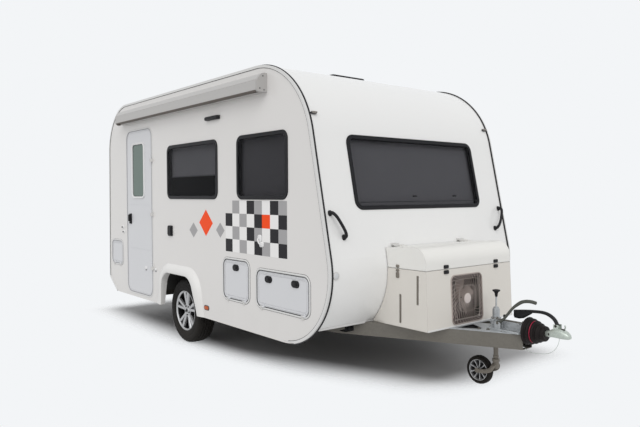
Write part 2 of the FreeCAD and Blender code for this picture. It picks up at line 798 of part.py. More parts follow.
flare_edge = 0.25  # share of the flare's depth that its upright outer rim takes
flare_slope_in = 0.4  # how far the flare's shoulder draws in, as a share of its band
flare_blank = lofted("flare_blank", [
    (flare_outline(0), right_skin),
    (flare_outline(flare_edge * mm.flare_proud), right_skin + " - 0.7 * flare_proud"),
    (flare_outline(flare_slope_in * mm.flare_band), right_skin + " - flare_proud"),
])
right_flare = cut(
    "right_flare", flare_blank,
    slab("flare_opening", "XZ", [arch()], "2 * flare_proud", right_skin + " - 1.5 * flare_proud"),
)
left_flare = mirrored("left_flare", right_flare)
node("wheel_arch_flares", right_flare, left_flare)

# Edge trims round both side walls


def edge_trim(name, side):
    lip_start = right_skin + " - trim_proud" if side < 0 else left_skin + " - trim_flange"
    skin_start = right_skin if side < 0 else left_skin + " - trim_flange - overcut"
    ring = slab(name + "_ring", "XZ", [profile(-mm.trim_proud), profile(mm.trim_flange)],
                "trim_flange + trim_proud", lip_start)
    core = slab(name + "_core", "XZ", [profile()], "trim_flange + overcut", skin_start)
    skirt_gap = block(name + "_gap", "rear_cut_corner + front_low_corner - front_low_radius",
                      "3 * trim_flange", "2 * trim_flange", "-rear_cut_corner",
                      lip_start + " - trim_flange / 2", "skirt_height - trim_flange")
    return cut(name, ring, core, skirt_gap)


right_trim = cut(
    "right_trim_notched", edge_trim("right_trim", -1),
    block("awning_notch", "awning_length + 2 * seat_gap", "awning_proud", "awning_rise + 2 * seat_gap",
          "awning_rear - seat_gap", right_skin + " - awning_proud", "awning_low - seat_gap"),
)
node("edge_trims", right_trim, edge_trim("left_trim", 1))

# Window frames and panes


def side_window(name, box, side):
    outer_start = right_skin + " - frame_proud" if side < 0 else left_skin
    inner_start = right_skin if side < 0 else left_skin + " - wall"
    lap = grown(box, 0, mm.window_corner)
    inside = grown(box, -mm.frame_band, mm.window_corner)
    throat = grown(box, -mm.frame_lap - mm.seat_gap, mm.window_corner)
    flange = slab(name + "_flange", "XZ", [lap, inside], "frame_proud", outer_start)
    tube = slab(name + "_tube", "XZ", [throat, inside], "wall", inner_start)
    frame = fuse(name + "_frame", flange, tube)
    pane_start = right_skin + " - pane" if side < 0 else left_skin
    pane = slab(name + "_pane", "XZ", [grown(box, -mm.frame_band - mm.seat_gap, mm.window_corner)], "pane",
                pane_start)
    return frame, pane


frames = []
panes = []
for window_name, window_box in window_sizes.items():
    for side_name, side in (("right", -1), ("left", 1)):
        frame, pane = side_window(side_name + "_" + window_name, window_box, side)
        frames.append(frame)
        panes.append(pane)


def end_window(name, window_half, low, high, side):
    # A framed window that follows the front or rear panel's curve.
    start = "roof_front_joint" if side > 0 else "-rear_low_corner - shell"
    reach = "front_low_corner - roof_front_joint" if side > 0 else "rear_low_corner - roof_rear_joint + shell"

    def stencil(part, shrink):
        outline = rectangle(-window_half + shrink, low + shrink, window_half - shrink, high - shrink,
                            mm.window_corner - shrink)
        return slab(name + part, "YZ", [outline], reach, start)

    flange = common(name + "_flange", skin_layer(name + "_flange_skin", mm.frame_proud),
                    stencil("_flange_stencil", 0))
    tube = common(name + "_tube", skin_layer(name + "_tube_skin", mm.frame_proud, mm.shell),
                  stencil("_tube_stencil", mm.frame_lap + mm.seat_gap))
    frame = cut(name + "_frame", fuse(name + "_frame_full", flange, tube), stencil("_inside_stencil", mm.frame_band))
    pane = common(name + "_pane", skin_layer(name + "_pane_skin", mm.pane),
                  stencil("_pane_stencil", mm.frame_band + mm.seat_gap))
    return frame, pane


for end_name, window_half, low, high, side in (
        ("front_window", mm.front_window_half, mm.front_window_low, mm.front_window_high, 1),
        ("rear_window", mm.rear_window_half, mm.rear_window_low, mm.rear_window_high, -1)):
    frame, pane = end_window(end_name, window_half, low, high, side)
    frames.append(frame)
    panes.append(pane)
node("window_frames", *frames)
node("window_panes", *panes)

# Entrance door, hinged at its front edge

door_box = (mm.door_rear, mm.door_low, mm.door_front, mm.door_high)
window_left = mm.door_rear + mm.door_window_rear
window_top = mm.door_high - mm.door_window_below
door_window_box = (window_left, window_top - mm.door_window_rise, window_left + mm.door_window_length, window_top)
door_sheet = slab("door_sheet", "XZ",
                  [grown(door_box, 0, mm.door_corner), grown(door_window_box, 0, mm.door_window_corner)],
                  "wall", right_skin)
hinge_x = "door_front + leaf_gap / 2"
hinge_y = right_skin + " - door_pin_out"
hinge_plate_y = hinge_y + " - door_knuckle / 2"
hinge_plate_depth = "door_pin_out + door_knuckle / 2"
door_parts = [door_sheet]
fixed_hinges = []
for word, share in (("low", 0.18), ("middle", 0.5), ("high", 0.82)):
    name = "door_hinge_" + word
    hinge_z = "door_low + (door_high - door_low) * " + str(share)
    leaf = block(name + "_leaf", "door_hinge_length", hinge_plate_depth, "door_hinge_length",
                 hinge_x + " - door_hinge_length", hinge_plate_y, hinge_z)
    plate = block(name + "_plate", "door_hinge_length", hinge_plate_depth, "door_hinge_length", hinge_x,
                  hinge_plate_y, hinge_z + " - door_hinge_length - seat_gap")
    moving, fixed = hinge(name, "+z", "door_knuckle", "door_pin", "door_hinge_length",
                          {"x": hinge_x, "y": hinge_y, "z": hinge_z}, leaf, plate)
    door_parts.append(moving)
    fixed_hinges.append(fixed)
node("entrance_door", fuse("door_leaf", *door_parts))

door_window_lip = mm.frame_lap / 2
node("door_window_frame", slab(
    "door_pane_frame", "XZ",
    [grown(door_window_box, mm.frame_lap, mm.door_window_corner),
     grown(door_window_box, -door_window_lip, mm.door_window_corner)],
    "frame_proud", right_skin + " - frame_proud"))
node("door_pane", slab("door_pane_sheet", "XZ", [grown(door_window_box, -mm.seat_gap, mm.door_window_corner)], "pane",
                       right_skin))
handle_x = "door_rear + door_handle_in"
handle_z = "door_low + door_handle_rise"
door_handle = fuse(
    "door_handle_full",
    block("door_handle_back", "door_handle_plate / 2", "door_handle_proud / 5", "door_handle_plate",
          handle_x + " - door_handle_plate / 4", right_skin + " - door_handle_proud / 5", handle_z),
    cut("door_handle_bow",
        block("door_handle_blank", "door_handle_plate / 5", "door_handle_proud", "door_handle_plate * 0.7",
              handle_x + " - door_handle_plate / 10", right_skin + " - door_handle_proud",
              handle_z + " + door_handle_plate * 0.15"),
        block("door_handle_reach", "door_handle_plate / 2", "door_handle_proud * 2 / 3", "door_handle_plate / 2",
              handle_x + " - door_handle_plate / 4", right_skin + " - door_handle_proud * 2 / 3",
              handle_z + " + door_handle_plate / 4")),
)
node("door_handle", door_handle)

# Locker hatches, each hinged along its lower edge


def hatch(name, box, lock_shares):
    # The leaf with its knuckles and locks, and the hinge halves that stay on the wall.
    x_low, z_low, x_high, z_high = box
    leaf_parts = [slab(name + "_sheet", "XZ", [grown(box, 0, mm.hatch_corner)], "wall", right_skin)]
    fixed_parts = []
    pin_y = right_skin + " - hatch_pin_out"
    pin_z = name + "_low - leaf_gap / 2"
    for word, x in (("rear", name + "_rear + hatch_hinge_in"),
                    ("front", name + "_front - hatch_hinge_in + hatch_hinge_length")):
        hinge_name = name + "_hinge_" + word
        leaf = block(hinge_name + "_leaf", "hatch_hinge_length", "hatch_pin_out", "hatch_hinge_length", x, pin_y,
                     pin_z)
        plate = block(hinge_name + "_plate", "hatch_hinge_length", "hatch_pin_out", "hatch_hinge_length",
                      x + " - hatch_hinge_length - seat_gap", pin_y, pin_z + " - hatch_hinge_length")
        moving, fixed = hinge(hinge_name, "+x", "hatch_knuckle", "hatch_pin", "hatch_hinge_length",
                              {"x": x, "y": pin_y, "z": pin_z}, leaf, plate)
        leaf_parts.append(moving)
        fixed_parts.append(fixed)
    for i, share in enumerate(lock_shares):
        leaf_parts.append(rod(name + "_lock_" + str(i), "lock_radius", "lock_proud + overcut", "-y",
                              str(x_low + (x_high - x_low) * share), right_skin + " + overcut",
                              name + "_high - lock_below"))
    return fuse(name + "_leaf", *leaf_parts), fixed_parts


hatch_locks = {"middle_hatch": [0.5], "front_hatch": [0.24, 0.76], "service_hatch": []}
for hatch_name, hatch_box in hatch_sizes.items():
    leaf, fixed = hatch(hatch_name, hatch_box, hatch_locks[hatch_name])
    node(hatch_name, leaf)
    fixed_hinges.extend(fixed)

# Awning case on the right wall, with end caps

awning_points = [
    (0, 0), (0, mm.awning_rise), (-mm.awning_proud * 0.55, mm.awning_rise), (-mm.awning_proud, mm.awning_rise * 0.62),
    (-mm.awning_proud, mm.awning_rise * 0.1), (-mm.awning_proud * 0.9, 0),
]
awning_outline = [(y - half, z + mm.awning_low) for y, z in reversed(awning_points)]
awning_radii = [0, 0, 0.26 * mm.awning_rise, 0.3 * mm.awning_rise, 0, 0]
awning_case = slab("awning_case", "YZ", [rounded(awning_outline, awning_radii)],
                   "awning_front - awning_rear - 2 * awning_cap", "awning_rear + awning_cap")
awning_caps = [
    slab("awning_cap_rear", "YZ", [rounded(awning_outline, awning_radii)], "awning_cap", "awning_rear"),
    slab("awning_cap_front", "YZ", [rounded(awning_outline, awning_radii)], "awning_cap",
         "awning_front - awning_cap"),
]
node("awning_case", awning_case)
node("awning_end_caps", *awning_caps)

# Chassis rails and drawbar beams: channels that open towards the centre

rail_height = "sill_height - rail_low"


def channel(name, length, x, y, side):
    inner_y = y if side < 0 else y + " - rail_flange"
    hollow_y = y + " + rail_sheet" if side < 0 else y + " - rail_flange - rail_sheet"
    return cut(
        name,
        block(name + "_blank", length, "rail_flange", rail_height, x, inner_y, "rail_low"),
        block(name + "_hollow", length + " + 2 * overcut", "rail_flange", rail_height + " - 2 * rail_sheet",
              x + " - overcut", hollow_y, "rail_low + rail_sheet"),
    )


def jacking_plate(name, y):
    return block(name, "jacking_length", "rail_flange", "plate_sheet", "jacking_place", y, "rail_low - plate_sheet")


right_rail = channel("right_rail", "bend_place - rail_rear", "rail_rear", "-rail_half", -1)
left_rail = channel("left_rail", "bend_place - rail_rear", "rail_rear", "rail_half", 1)
node("chassis_rail_right", fuse("right_rail_and_plate", right_rail,
                                jacking_plate("right_jacking_plate", "-rail_half")))
node("chassis_rail_left", fuse("left_rail_and_plate", left_rail,
                               jacking_plate("left_jacking_plate", "rail_half - rail_flange")))


def beam_outline(side, inwards_outer, inwards_inner):
    # Plan of one drawbar beam between two lines parallel to its outer side.
    start = Vector(mm.bend_place, mm.rail_half, 0)
    stop = Vector(mm.beam_front, mm.beam_front_half, 0)
    direction = (stop - start).normalize()
    across = Vector(direction.y, -direction.x, 0)

    def corner(x, inwards):
        # Where the line at this distance inwards crosses the plane at x.
        base = start + across * inwards
        return (x, base.y + direction.y / direction.x * (x - base.x))

    points = [
        corner(mm.bend_place, inwards_inner), corner(mm.beam_front, inwards_inner),
        corner(mm.beam_front, inwards_outer), corner(mm.bend_place, inwards_outer),
    ]
    if side < 0:
        points = [(x, -y) for x, y in reversed(points)]
    return rounded(points, 0)


def drawbar_beam(name, side):
    full = slab(name + "_blank", "XY", [beam_outline(side, 0, mm.rail_flange)], rail_height, "rail_low")
    hollow = slab(name + "_hollow", "XY", [beam_outline(side, mm.rail_sheet, 1.5 * mm.rail_flange)],
                  rail_height + " - 2 * rail_sheet", "rail_low + rail_sheet")
    return cut(name, full, hollow)


node("drawbar_beam_right", drawbar_beam("right_beam", -1))
node("drawbar_beam_left", drawbar_beam("left_beam", 1))

cross_members = [
    block("cross_member_" + word, "cross_member", "2 * rail_half - 2 * rail_sheet - 2 * seat_gap",
          rail_height + " - 2 * rail_sheet - 2 * seat_gap", x, "rail_sheet + seat_gap - rail_half",
          "rail_low + rail_sheet + seat_gap")
    for word, x in (("rear", "rail_rear + cross_member"), ("middle", "axle_forward + 2 * cross_member"),
                    ("front", "bend_place - 1.2 * cross_member"))
]

beam_slope = (mm.rail_half - mm.beam_front_half) / (mm.beam_front - mm.bend_place)
plate_front_half = mm.beam_front_half - mm.rail_sheet
plate_half = plate_front_half + beam_slope * mm.plate_length
plate_outline = rounded([(mm.plate_rear, -plate_half), (mm.beam_front, -plate_front_half),
                         (mm.beam_front, plate_front_half), (mm.plate_rear, plate_half)], 0)
post_hole = circle(mm.jockey_place, mm.jockey_side, mm.post_radius + mm.seat_gap)
drawbar_plate = cut(
    "drawbar_plate",
    slab("drawbar_plate_sheet", "XY", [plate_outline, post_hole], "plate_sheet", "sill_height"),
    block("drawbar_plate_slot", "housing_length + 2 * overcut", "2 * shaft_tube", "plate_sheet + 2 * overcut",
          "housing_rear - overcut", "-shaft_tube", "sill_height - overcut"),
)
node("drawbar_plate", drawbar_plate)

# Torsion axle with trailing swing arms and stub axles

axle_tube = rod("axle_tube", "axle_radius", "2 * arm_side - 2 * arm_thickness", "+y", "axle_forward",
                "arm_thickness - arm_side", "axle_height")
axle_seats = [
    block("axle_seat_" + word, "axle_seat", "rail_flange", "axle_radius * 0.6 + plate_sheet",
          "axle_forward - axle_seat / 2", y, "rail_low - axle_radius * 0.6 - plate_sheet")
    for word, y in (("right", "-rail_half"), ("left", "rail_half - rail_flange"))
]
node("axle_beam", fuse("axle_with_seats", axle_tube, *axle_seats))


def swing_arm(name, side):
    arm_start = "-arm_side" if side < 0 else "arm_side - arm_thickness"
    pivot = Vector(mm.axle_forward, mm.axle_height, 0)
    hub = Vector(0, mm.tyre_radius, 0)
    along_arm = (pivot - hub).normalize()
    across = Vector(-along_arm.y, along_arm.x, 0) * (mm.axle_radius * 0.9)
    past = along_arm * (mm.arm_end_radius * 1.1)
    points = [hub - across - past, pivot - across + past, pivot + across + past, hub + across - past]
    arm = slab(name + "_plate", "XZ", [rounded([(p.x, p.y) for p in points], mm.arm_end_radius)], "arm_thickness",
               arm_start)
    stub_start = "arm_thickness - arm_side" if side < 0 else "arm_side - arm_thickness"
    stub = rod(name + "_stub", "stub_radius", "arm_inset + arm_thickness", "-y" if side < 0 else "+y", "0", stub_start,
               "tyre_radius")
    backplate = rod(name + "_backplate", "drum_radius", "backplate", "+y", "0",
                    "-arm_side - backplate" if side < 0 else "arm_side", "tyre_radius")
    return fuse(name, arm, stub, backplate)


node("swing_arms", swing_arm("right_arm", -1), swing_arm("left_arm", 1))

# Road wheels: tyre, alloy rim with five split spokes, and brake drum

bead = mm.rim_radius
half_width = mm.tyre_width / 2
seat_half = 0.78 * half_width
rim_wall = 0.06 * bead
tyre_side = [
    (seat_half - rim_wall - mm.running_gap, bead + mm.running_gap),
    (half_width, bead + 0.47 * (mm.tyre_radius - bead)),
    (0.82 * half_width, mm.tyre_radius),
]
tyre_points = tyre_side + [(-y, r) for y, r in reversed(tyre_side)]
lean = (tyre_side[1][0] - tyre_side[0][0]) / (tyre_side[1][1] - tyre_side[0][1])
flange_in = seat_half - rim_wall + lean * (mm.flange_radius - bead)
flange_out = flange_in + rim_wall
barrel_points = [
    (-flange_out, mm.flange_radius), (-0.7 * half_width, bead - rim_wall), (flange_out - rim_wall, bead - rim_wall),
    (flange_out, mm.flange_radius), (flange_in, mm.flange_radius), (seat_half - rim_wall, bead),
    (rim_wall - seat_half, bead), (-flange_in, mm.flange_radius),
]
hub_out = 0.62 * half_width
hub_in = 0.1 * half_width
hub_radius = 0.38 * bead
spoke_width = 0.13 * bead
spoke_depth = 0.25 * half_width
spoke_count = 5
spoke_lean = 13  # degrees of each half of a split spoke to either side


def road_wheel(name, side):
    # Drawn with its face towards +Y, then turned for the right side.
    tyre = turned(name + "_tyre", tyre_points)
    barrel = turned(name + "_barrel", barrel_points)
    boss = turned(name + "_boss", [(hub_in, mm.hub_bore), (hub_out, mm.hub_bore), (hub_out, hub_radius),
                                   (hub_in, hub_radius)])
    cap = rod(name + "_cap", "hub_bore * 1.3", "hub_bore / 2", "+y", "0", str(hub_out - mm.overcut))
    spokes = []
    for i in range(spoke_count):
        for j, lean_angle in enumerate((-spoke_lean, spoke_lean)):
            spoke = slab("%s_spoke_%d_%d" % (name, i, j), "XZ",
                         [rectangle(-spoke_width / 2, 0.9 * hub_radius, spoke_width / 2, bead - rim_wall / 2)],
                         str(spoke_depth), str(hub_out - spoke_depth))
            spoke.Placement = Placement(Vector(), Rotation(Vector(0, 1, 0), 360 / spoke_count * i + lean_angle))
            spokes.append(spoke)
    rim = fuse(name + "_rim", barrel, boss, cap, *spokes)
    drum_out = hub_in - mm.running_gap
    drum = turned(name + "_drum", [(drum_out - mm.drum_width, mm.hub_bore), (drum_out, mm.hub_bore),
                                   (drum_out, mm.drum_radius), (drum_out - mm.drum_width, mm.drum_radius)])
    turn = Rotation(Vector(0, 0, 1), 180 if side < 0 else 0)
    for item in (tyre, rim, drum):
        item.Placement = Placement(Vector(), turn)
        at(item, "0", "-wheel_side" if side < 0 else "wheel_side", "tyre_radius")
    return tyre, rim, drum


for side_name, side in (("right", -1), ("left", 1)):
    tyre, rim, drum = road_wheel(side_name + "_wheel", side)
    node("tyre_" + side_name, tyre)
    node("rim_" + side_name, rim)
    node("brake_drum_" + side_name, drum)

# Overrun housing, shaft, bellows and coupling head

overrun_housing = fuse(
    "overrun_housing_full",
    block("housing_base", "housing_length", "housing_base_width", "housing_base_rise", "housing_rear",
          "-housing_base_width / 2", "sill_height + plate_sheet"),
    block("housing_saddle", "housing_length - 2 * saddle_in", "saddle_width", "saddle_rise",
          "housing_rear + saddle_in", "-saddle_width / 2", "sill_height + plate_sheet"),
    rod("housing_tube", "shaft_tube", "housing_length", "+x", "housing_rear", "0", "shaft_height"),
    rod("overrun_shaft", "shaft_radius", "bellows_length + shaft_radius * 1.6", "+x", "beam_front - overcut", "0",
        "shaft_height"),
    rod("lever_pin", "lever_pin_radius", "lever_offset + lever_sheet", "-y", "lever_place", "0", "lever_height"),
)
node("overrun_housing", overrun_housing)

bellows_folds = 4
fold = mm.bellows_length / bellows_folds
shaft_clear = mm.shaft_radius + mm.running_gap
bellows_points = [(mm.running_gap, shaft_clear), (mm.running_gap, mm.bellows_rear_radius - mm.bellows_fold)]
for i in range(bellows_folds):
    share = (i + 0.5) / bellows_folds
    radius = mm.bellows_rear_radius + (mm.bellows_front_radius - mm.bellows_rear_radius) * share
    bellows_points.append((mm.running_gap + fold * (i + 0.5), radius))
    bellows_points.append((fold * (i + 1), radius - mm.bellows_fold))
bellows_points.append((mm.bellows_length, shaft_clear))
bellows = turned("bellows", list(reversed(bellows_points)))
bellows.Placement = Placement(Vector(), Rotation(Vector(0, 0, 1), -90))
at(bellows, "beam_front", "0", "shaft_height")
node("coupling_bellows", bellows)

head_rear = mm.coupling_rear + mm.seat_gap
head_top = mm.coupling_low + mm.coupling_rise
neck_low = mm.shaft_height - 1.3 * mm.shaft_radius
coupling_side = rounded(
    [(head_rear, neck_low), (mm.ball_place - 2.4 * mm.ball_radius, neck_low),
     (mm.ball_place - 1.8 * mm.ball_radius, mm.coupling_low), (mm.coupling_nose, mm.coupling_low),
     (mm.coupling_nose, mm.coupling_low + 0.46 * mm.coupling_rise), (mm.ball_place, head_top), (head_rear, head_top)],
    [0, 0, 0, 0, 0.2 * mm.coupling_rise, 0.4 * mm.coupling_rise, 0])
coupling_plan = rounded(
    [(head_rear, -mm.coupling_neck), (mm.ball_place - 1.8 * mm.ball_radius, -mm.coupling_neck),
     (mm.ball_place - 0.8 * mm.ball_radius, -mm.coupling_half), (mm.coupling_nose, -mm.coupling_half),
     (mm.coupling_nose, mm.coupling_half), (mm.ball_place - 0.8 * mm.ball_radius, mm.coupling_half),
     (mm.ball_place - 1.8 * mm.ball_radius, mm.coupling_neck), (head_rear, mm.coupling_neck)],
    [0, 0, 0, 0.9 * mm.coupling_half, 0.9 * mm.coupling_half, 0, 0, 0])
ear_foot = 0.35 * mm.handle_width
ears = []
for word, y in (("right", "-handle_width / 2 - seat_gap - plate_sheet"), ("left", "handle_width / 2 + seat_gap")):
    ears.append(slab("handle_ear_" + word, "XZ", [rounded([
        (mm.handle_pin_place - ear_foot, head_top - ear_foot), (mm.handle_pin_place + ear_foot, head_top - ear_foot),
        (mm.handle_pin_place + ear_foot, mm.handle_pin_height + ear_foot),
        (mm.handle_pin_place - ear_foot, mm.handle_pin_height + ear_foot)], [0, 0, 0.6 * ear_foot, 0.6 * ear_foot])],
        "plate_sheet", y))
coupling_head = cut(
    "coupling_head",
    fuse("coupling_full",
         common("coupling_blank",
                slab("coupling_side", "XZ", [coupling_side], "2.4 * coupling_half", "-1.2 * coupling_half"),
                slab("coupling_plan", "XY", [coupling_plan], "2 * coupling_rise", "coupling_low - coupling_rise / 2")),
         rod("handle_pin", "lever_pin_radius", "handle_width + 2 * plate_sheet + 2 * seat_gap", "+y", "handle_pin_place",
             "-handle_width / 2 - plate_sheet - seat_gap", "handle_pin_height"),
         *ears),
    rod("coupling_socket", "ball_radius", "ball_depth + overcut", "+z", "ball_place", "0", "coupling_low - overcut"),
    rod("coupling_shaft_bore", "shaft_radius + seat_gap", "shaft_radius * 1.6 + overcut", "+x",
        "coupling_rear - overcut", "0", "shaft_height"),
)
node("coupling_head", coupling_head)

handle_line = [(-10, -9), (10, 8), (-92, 84), (-340, 66), (-340, 43), (-102, 58)]  # about the handle's pin
handle_corners = [(mm.handle_pin_place + x, mm.handle_pin_height + z) for x, z in handle_line]
coupling_handle = cut(
    "coupling_handle",
    fuse("coupling_handle_full",
         slab("coupling_handle_bar", "XZ", [rounded(handle_corners, 0)], "handle_width", "-handle_width / 2"),
         rod("coupling_handle_eye", "2 * lever_pin_radius", "handle_width", "+y", "handle_pin_place",
             "-handle_width / 2", "handle_pin_height")),
    rod("coupling_handle_bore", "lever_pin_radius + running_gap", "2 * handle_width", "+y", "handle_pin_place",
        "-handle_width", "handle_pin_height"),
)
node("coupling_handle", coupling_handle)

lever_line = [(-16, -4), (10, -20), (150, 130), (309, 174), (305, 198), (136, 156)]  # about the lever's pin
lever_corners = [(mm.lever_place + x, mm.lever_height + z) for x, z in lever_line]
handbrake = cut(
    "handbrake",
    slab("handbrake_bar", "XZ", [rounded(lever_corners, 0)], "lever_sheet", "-lever_offset - lever_sheet / 2"),
    rod("handbrake_bore", "lever_pin_radius + running_gap", "2 * lever_sheet", "+y", "lever_place",
        "-lever_offset - lever_sheet", "lever_height"),
)
node("handbrake_lever", handbrake)

# Jockey wheel: clamped outer tube, sliding inner tube, swivelling fork, wheel

post = fuse(
    "jockey_post_full",
    rod("post_tube", "post_radius", "post_top - post_low", "+z", "jockey_place", "jockey_side", "post_low"),
    rod("post_collar", "post_radius + collar_proud", "collar_rise", "+z", "jockey_place", "jockey_side",
        "sill_height + plate_sheet"),
)
post_bored = cut("jockey_post_bored", post,
                 rod("post_bore", "leg_radius + running_gap", "post_top - post_low - fork_sheet + overcut", "+z",
                     "jockey_place", "jockey_side", "post_low - overcut"))
crank = fuse(
    "jockey_crank",
    rod("crank_stem", "crank_knob / 4", "crank_top - post_top", "+z", "jockey_place", "jockey_side",
        "post_top - overcut"),
    taper("crank_neck", "crank_knob / 3", "crank_knob * 0.6", "crank_knob * 1.4", "+z", "jockey_place", "jockey_side",
          "crank_top - crank_knob * 2.1"),
    rod("crank_grip", "crank_knob", "crank_knob * 0.8", "+z", "jockey_place", "jockey_side",
        "crank_top - crank_knob * 0.8"),
)
node("jockey_post", fuse("jockey_post_and_crank", post_bored, crank))
leg = fuse(
    "jockey_leg_full",
    rod("leg_tube", "leg_radius", "leg_length", "+z", "jockey_place", "jockey_side", "leg_low"),
    rod("swivel_pin", "swivel_radius", "swivel_length + overcut", "-z", "jockey_place", "jockey_side",
        "leg_low + overcut"),
    rod("swivel_nut", "swivel_radius * 1.5", "backplate", "-z", "jockey_place", "jockey_side",
        "leg_low - swivel_length"),
)
node("jockey_leg", leg)

fork_foot = 0.2 * mm.jockey_radius
fork_head = 0.27 * mm.jockey_radius
fork_top = mm.leg_low - mm.seat_gap
fork_side = rounded([
    (mm.jockey_axle - fork_foot, mm.jockey_radius - fork_foot),
    (mm.jockey_axle + fork_foot, mm.jockey_radius - fork_foot),
    (mm.jockey_place + fork_head, fork_top - 0.6 * mm.jockey_radius), (mm.jockey_place + fork_head, fork_top),
    (mm.jockey_place - fork_head, fork_top), (mm.jockey_place - fork_head, fork_top - 0.7 * mm.jockey_radius),
    (mm.jockey_axle - fork_foot, mm.jockey_radius + fork_foot)], 0)
cheek_in = "(jockey_width / 2 + fork_gap)"
fork_full = fuse(
    "jockey_fork_full",
    slab("fork_cheek_right", "XZ", [fork_side], "fork_sheet", "jockey_side - fork_sheet - " + cheek_in),
    slab("fork_cheek_left", "XZ", [fork_side], "fork_sheet", "jockey_side + " + cheek_in),
    block("fork_crown", str(2 * fork_head), "2 * fork_sheet + 2 * " + cheek_in, "fork_sheet",
          "jockey_place - " + str(fork_head), "jockey_side - fork_sheet - " + cheek_in,
          "leg_low - seat_gap - fork_sheet"),
    rod("fork_bush", "swivel_radius * 1.6", "swivel_length - 2 * seat_gap", "-z", "jockey_place", "jockey_side",
        "leg_low - seat_gap"),
    rod("fork_axle", "post_radius / 4", "4 * fork_sheet + 2 * " + cheek_in, "+y", "jockey_axle",
        "jockey_side - 2 * fork_sheet - " + cheek_in, "jockey_radius"),
)
fork = cut(
    "jockey_fork", fork_full,
    rod("fork_bore", "swivel_radius + running_gap", "swivel_length + 2 * overcut", "-z", "jockey_place", "jockey_side",
        "leg_low + overcut"),
)
node("jockey_fork", fork)

tread_half = 0.34 * mm.jockey_width
disc_radius = 0.66 * mm.jockey_radius
rim_half = 0.37 * mm.jockey_width
jockey_tyre = turned("jockey_tyre_ring", [
    (-0.5 * mm.jockey_width, disc_radius), (0.5 * mm.jockey_width, disc_radius), (tread_half, mm.jockey_radius),
    (-tread_half, mm.jockey_radius)])
axle_clear = mm.post_radius / 4 + mm.running_gap
web_half = 0.13 * mm.jockey_width
rim_low = 0.86 * disc_radius
jockey_disc = turned("jockey_disc_full", [
    (-rim_half, axle_clear), (rim_half, axle_clear), (web_half, 0.4 * disc_radius), (web_half, rim_low),
    (rim_half, disc_radius - mm.running_gap), (-rim_half, disc_radius - mm.running_gap), (-web_half, rim_low),
    (-web_half, 0.4 * disc_radius)])
for item in (jockey_tyre, jockey_disc):
    at(item, "jockey_axle", "jockey_side", "jockey_radius")
node("jockey_tyre", jockey_tyre)
node("jockey_disc", jockey_disc)

# Corner steadies, folded up under the floor

brackets = []
steady_gap = "(steady_width / 2 + running_gap)"
for end_name, direction in (("front", -1), ("rear", 1)):
    place = "steady_place" if end_name == "front" else "-steady_place"
    start = place if direction > 0 else place + " - steady_length"
    for side_name, middle in (("right", "-steady_half"), ("left", "steady_half")):
        name = "steady_" + end_name + "_" + side_name
        leg_blank = block(name + "_blank", "steady_length", "steady_width", "steady_depth", start,
                          middle + " - steady_width / 2", "steady_height - steady_depth / 2")
        leg_hollow = block(name + "_hollow", "steady_length - 2 * steady_width", "steady_width - 2 * steady_sheet",
                           "steady_depth - steady_sheet + overcut", start + " + steady_width",
                           middle + " - steady_width / 2 + steady_sheet",
                           "steady_height - steady_depth / 2 - overcut")
        eye = rod(name + "_eye", "steady_depth * 0.6", "steady_width", "+y", place, middle + " - steady_width / 2",
                  "steady_height")
        foot_shift = " + steady_length - overcut" if direction > 0 else " - steady_length - plate_sheet + overcut"
        foot = block(name + "_foot", "plate_sheet", "foot_length", "foot_height", place + foot_shift,
                     middle + " - foot_length / 2", "steady_height - foot_height / 2")
        bore = rod(name + "_bore", "steady_pin + running_gap", "steady_width + 2 * overcut", "+y", place,
                   middle + " - steady_width / 2 - overcut", "steady_height")
        node(name, cut(name + "_leg", fuse(name + "_full", leg_blank, eye, foot), leg_hollow, bore))
        cheeks = [block(name + "_cheek_" + word, "cross_member", "rail_sheet",
                        "steady_drop + steady_depth / 2 - seat_gap", place + " - cross_member / 2", middle + shift,
                        "steady_height - steady_depth / 2")
                  for word, shift in (("right", " - rail_sheet - " + steady_gap), ("left", " + " + steady_gap))]
        seat = block(name + "_seat", "cross_member", "2 * rail_sheet + 2 * " + steady_gap, "rail_sheet",
                     place + " - cross_member / 2", middle + " - rail_sheet - " + steady_gap,
                     "sill_height - rail_sheet - seat_gap")
        pin = rod(name + "_pin", "steady_pin", "2 * rail_sheet + 2 * " + steady_gap, "+y", place,
                  middle + " - rail_sheet - " + steady_gap, "steady_height")
        brackets.append(fuse(name + "_bracket", seat, pin, *cheeks))
node("cross_members_and_brackets", *cross_members, *brackets)

# Front storage box with its fan grille and hinged lid

box_rear = mm.front_top_corner
lid_low = mm.box_seam + mm.seam_gap
lid_slope = (mm.lid_front_top - mm.lid_rear_top) / (mm.box_front_high - mm.lid_pin_place)
lid_back_top = mm.lid_rear_top - lid_slope * (mm.lid_pin_place - box_rear)
inner_front_low = mm.box_front_low - mm.box_wall
inner_front_high = mm.box_front_high - mm.box_wall
box_side = rounded([(box_rear, mm.sill_height), (mm.box_front_low, mm.sill_height), (mm.box_front_high, mm.box_seam),
                    (box_rear, mm.box_seam)], [0, mm.box_foot_radius, 0, 0])
box_inner_side = rounded([
    (box_rear, mm.sill_height + mm.box_wall), (inner_front_low, mm.sill_height + mm.box_wall),
    (inner_front_high, mm.box_seam + mm.overcut), (box_rear, mm.box_seam + mm.overcut)], 0)
lid_side = rounded([(box_rear, lid_low), (mm.box_front_high, lid_low), (mm.box_front_high, mm.lid_front_top),
                    (box_rear, lid_back_top)], [0, 0, mm.lid_front_radius, 0])
lid_inner_side = rounded([
    (box_rear, lid_low - mm.overcut), (inner_front_high, lid_low - mm.overcut),
    (inner_front_high, mm.lid_front_top - mm.box_wall), (box_rear, lid_back_top - mm.box_wall)],
    [0, 0, mm.lid_front_radius - mm.box_wall, 0])


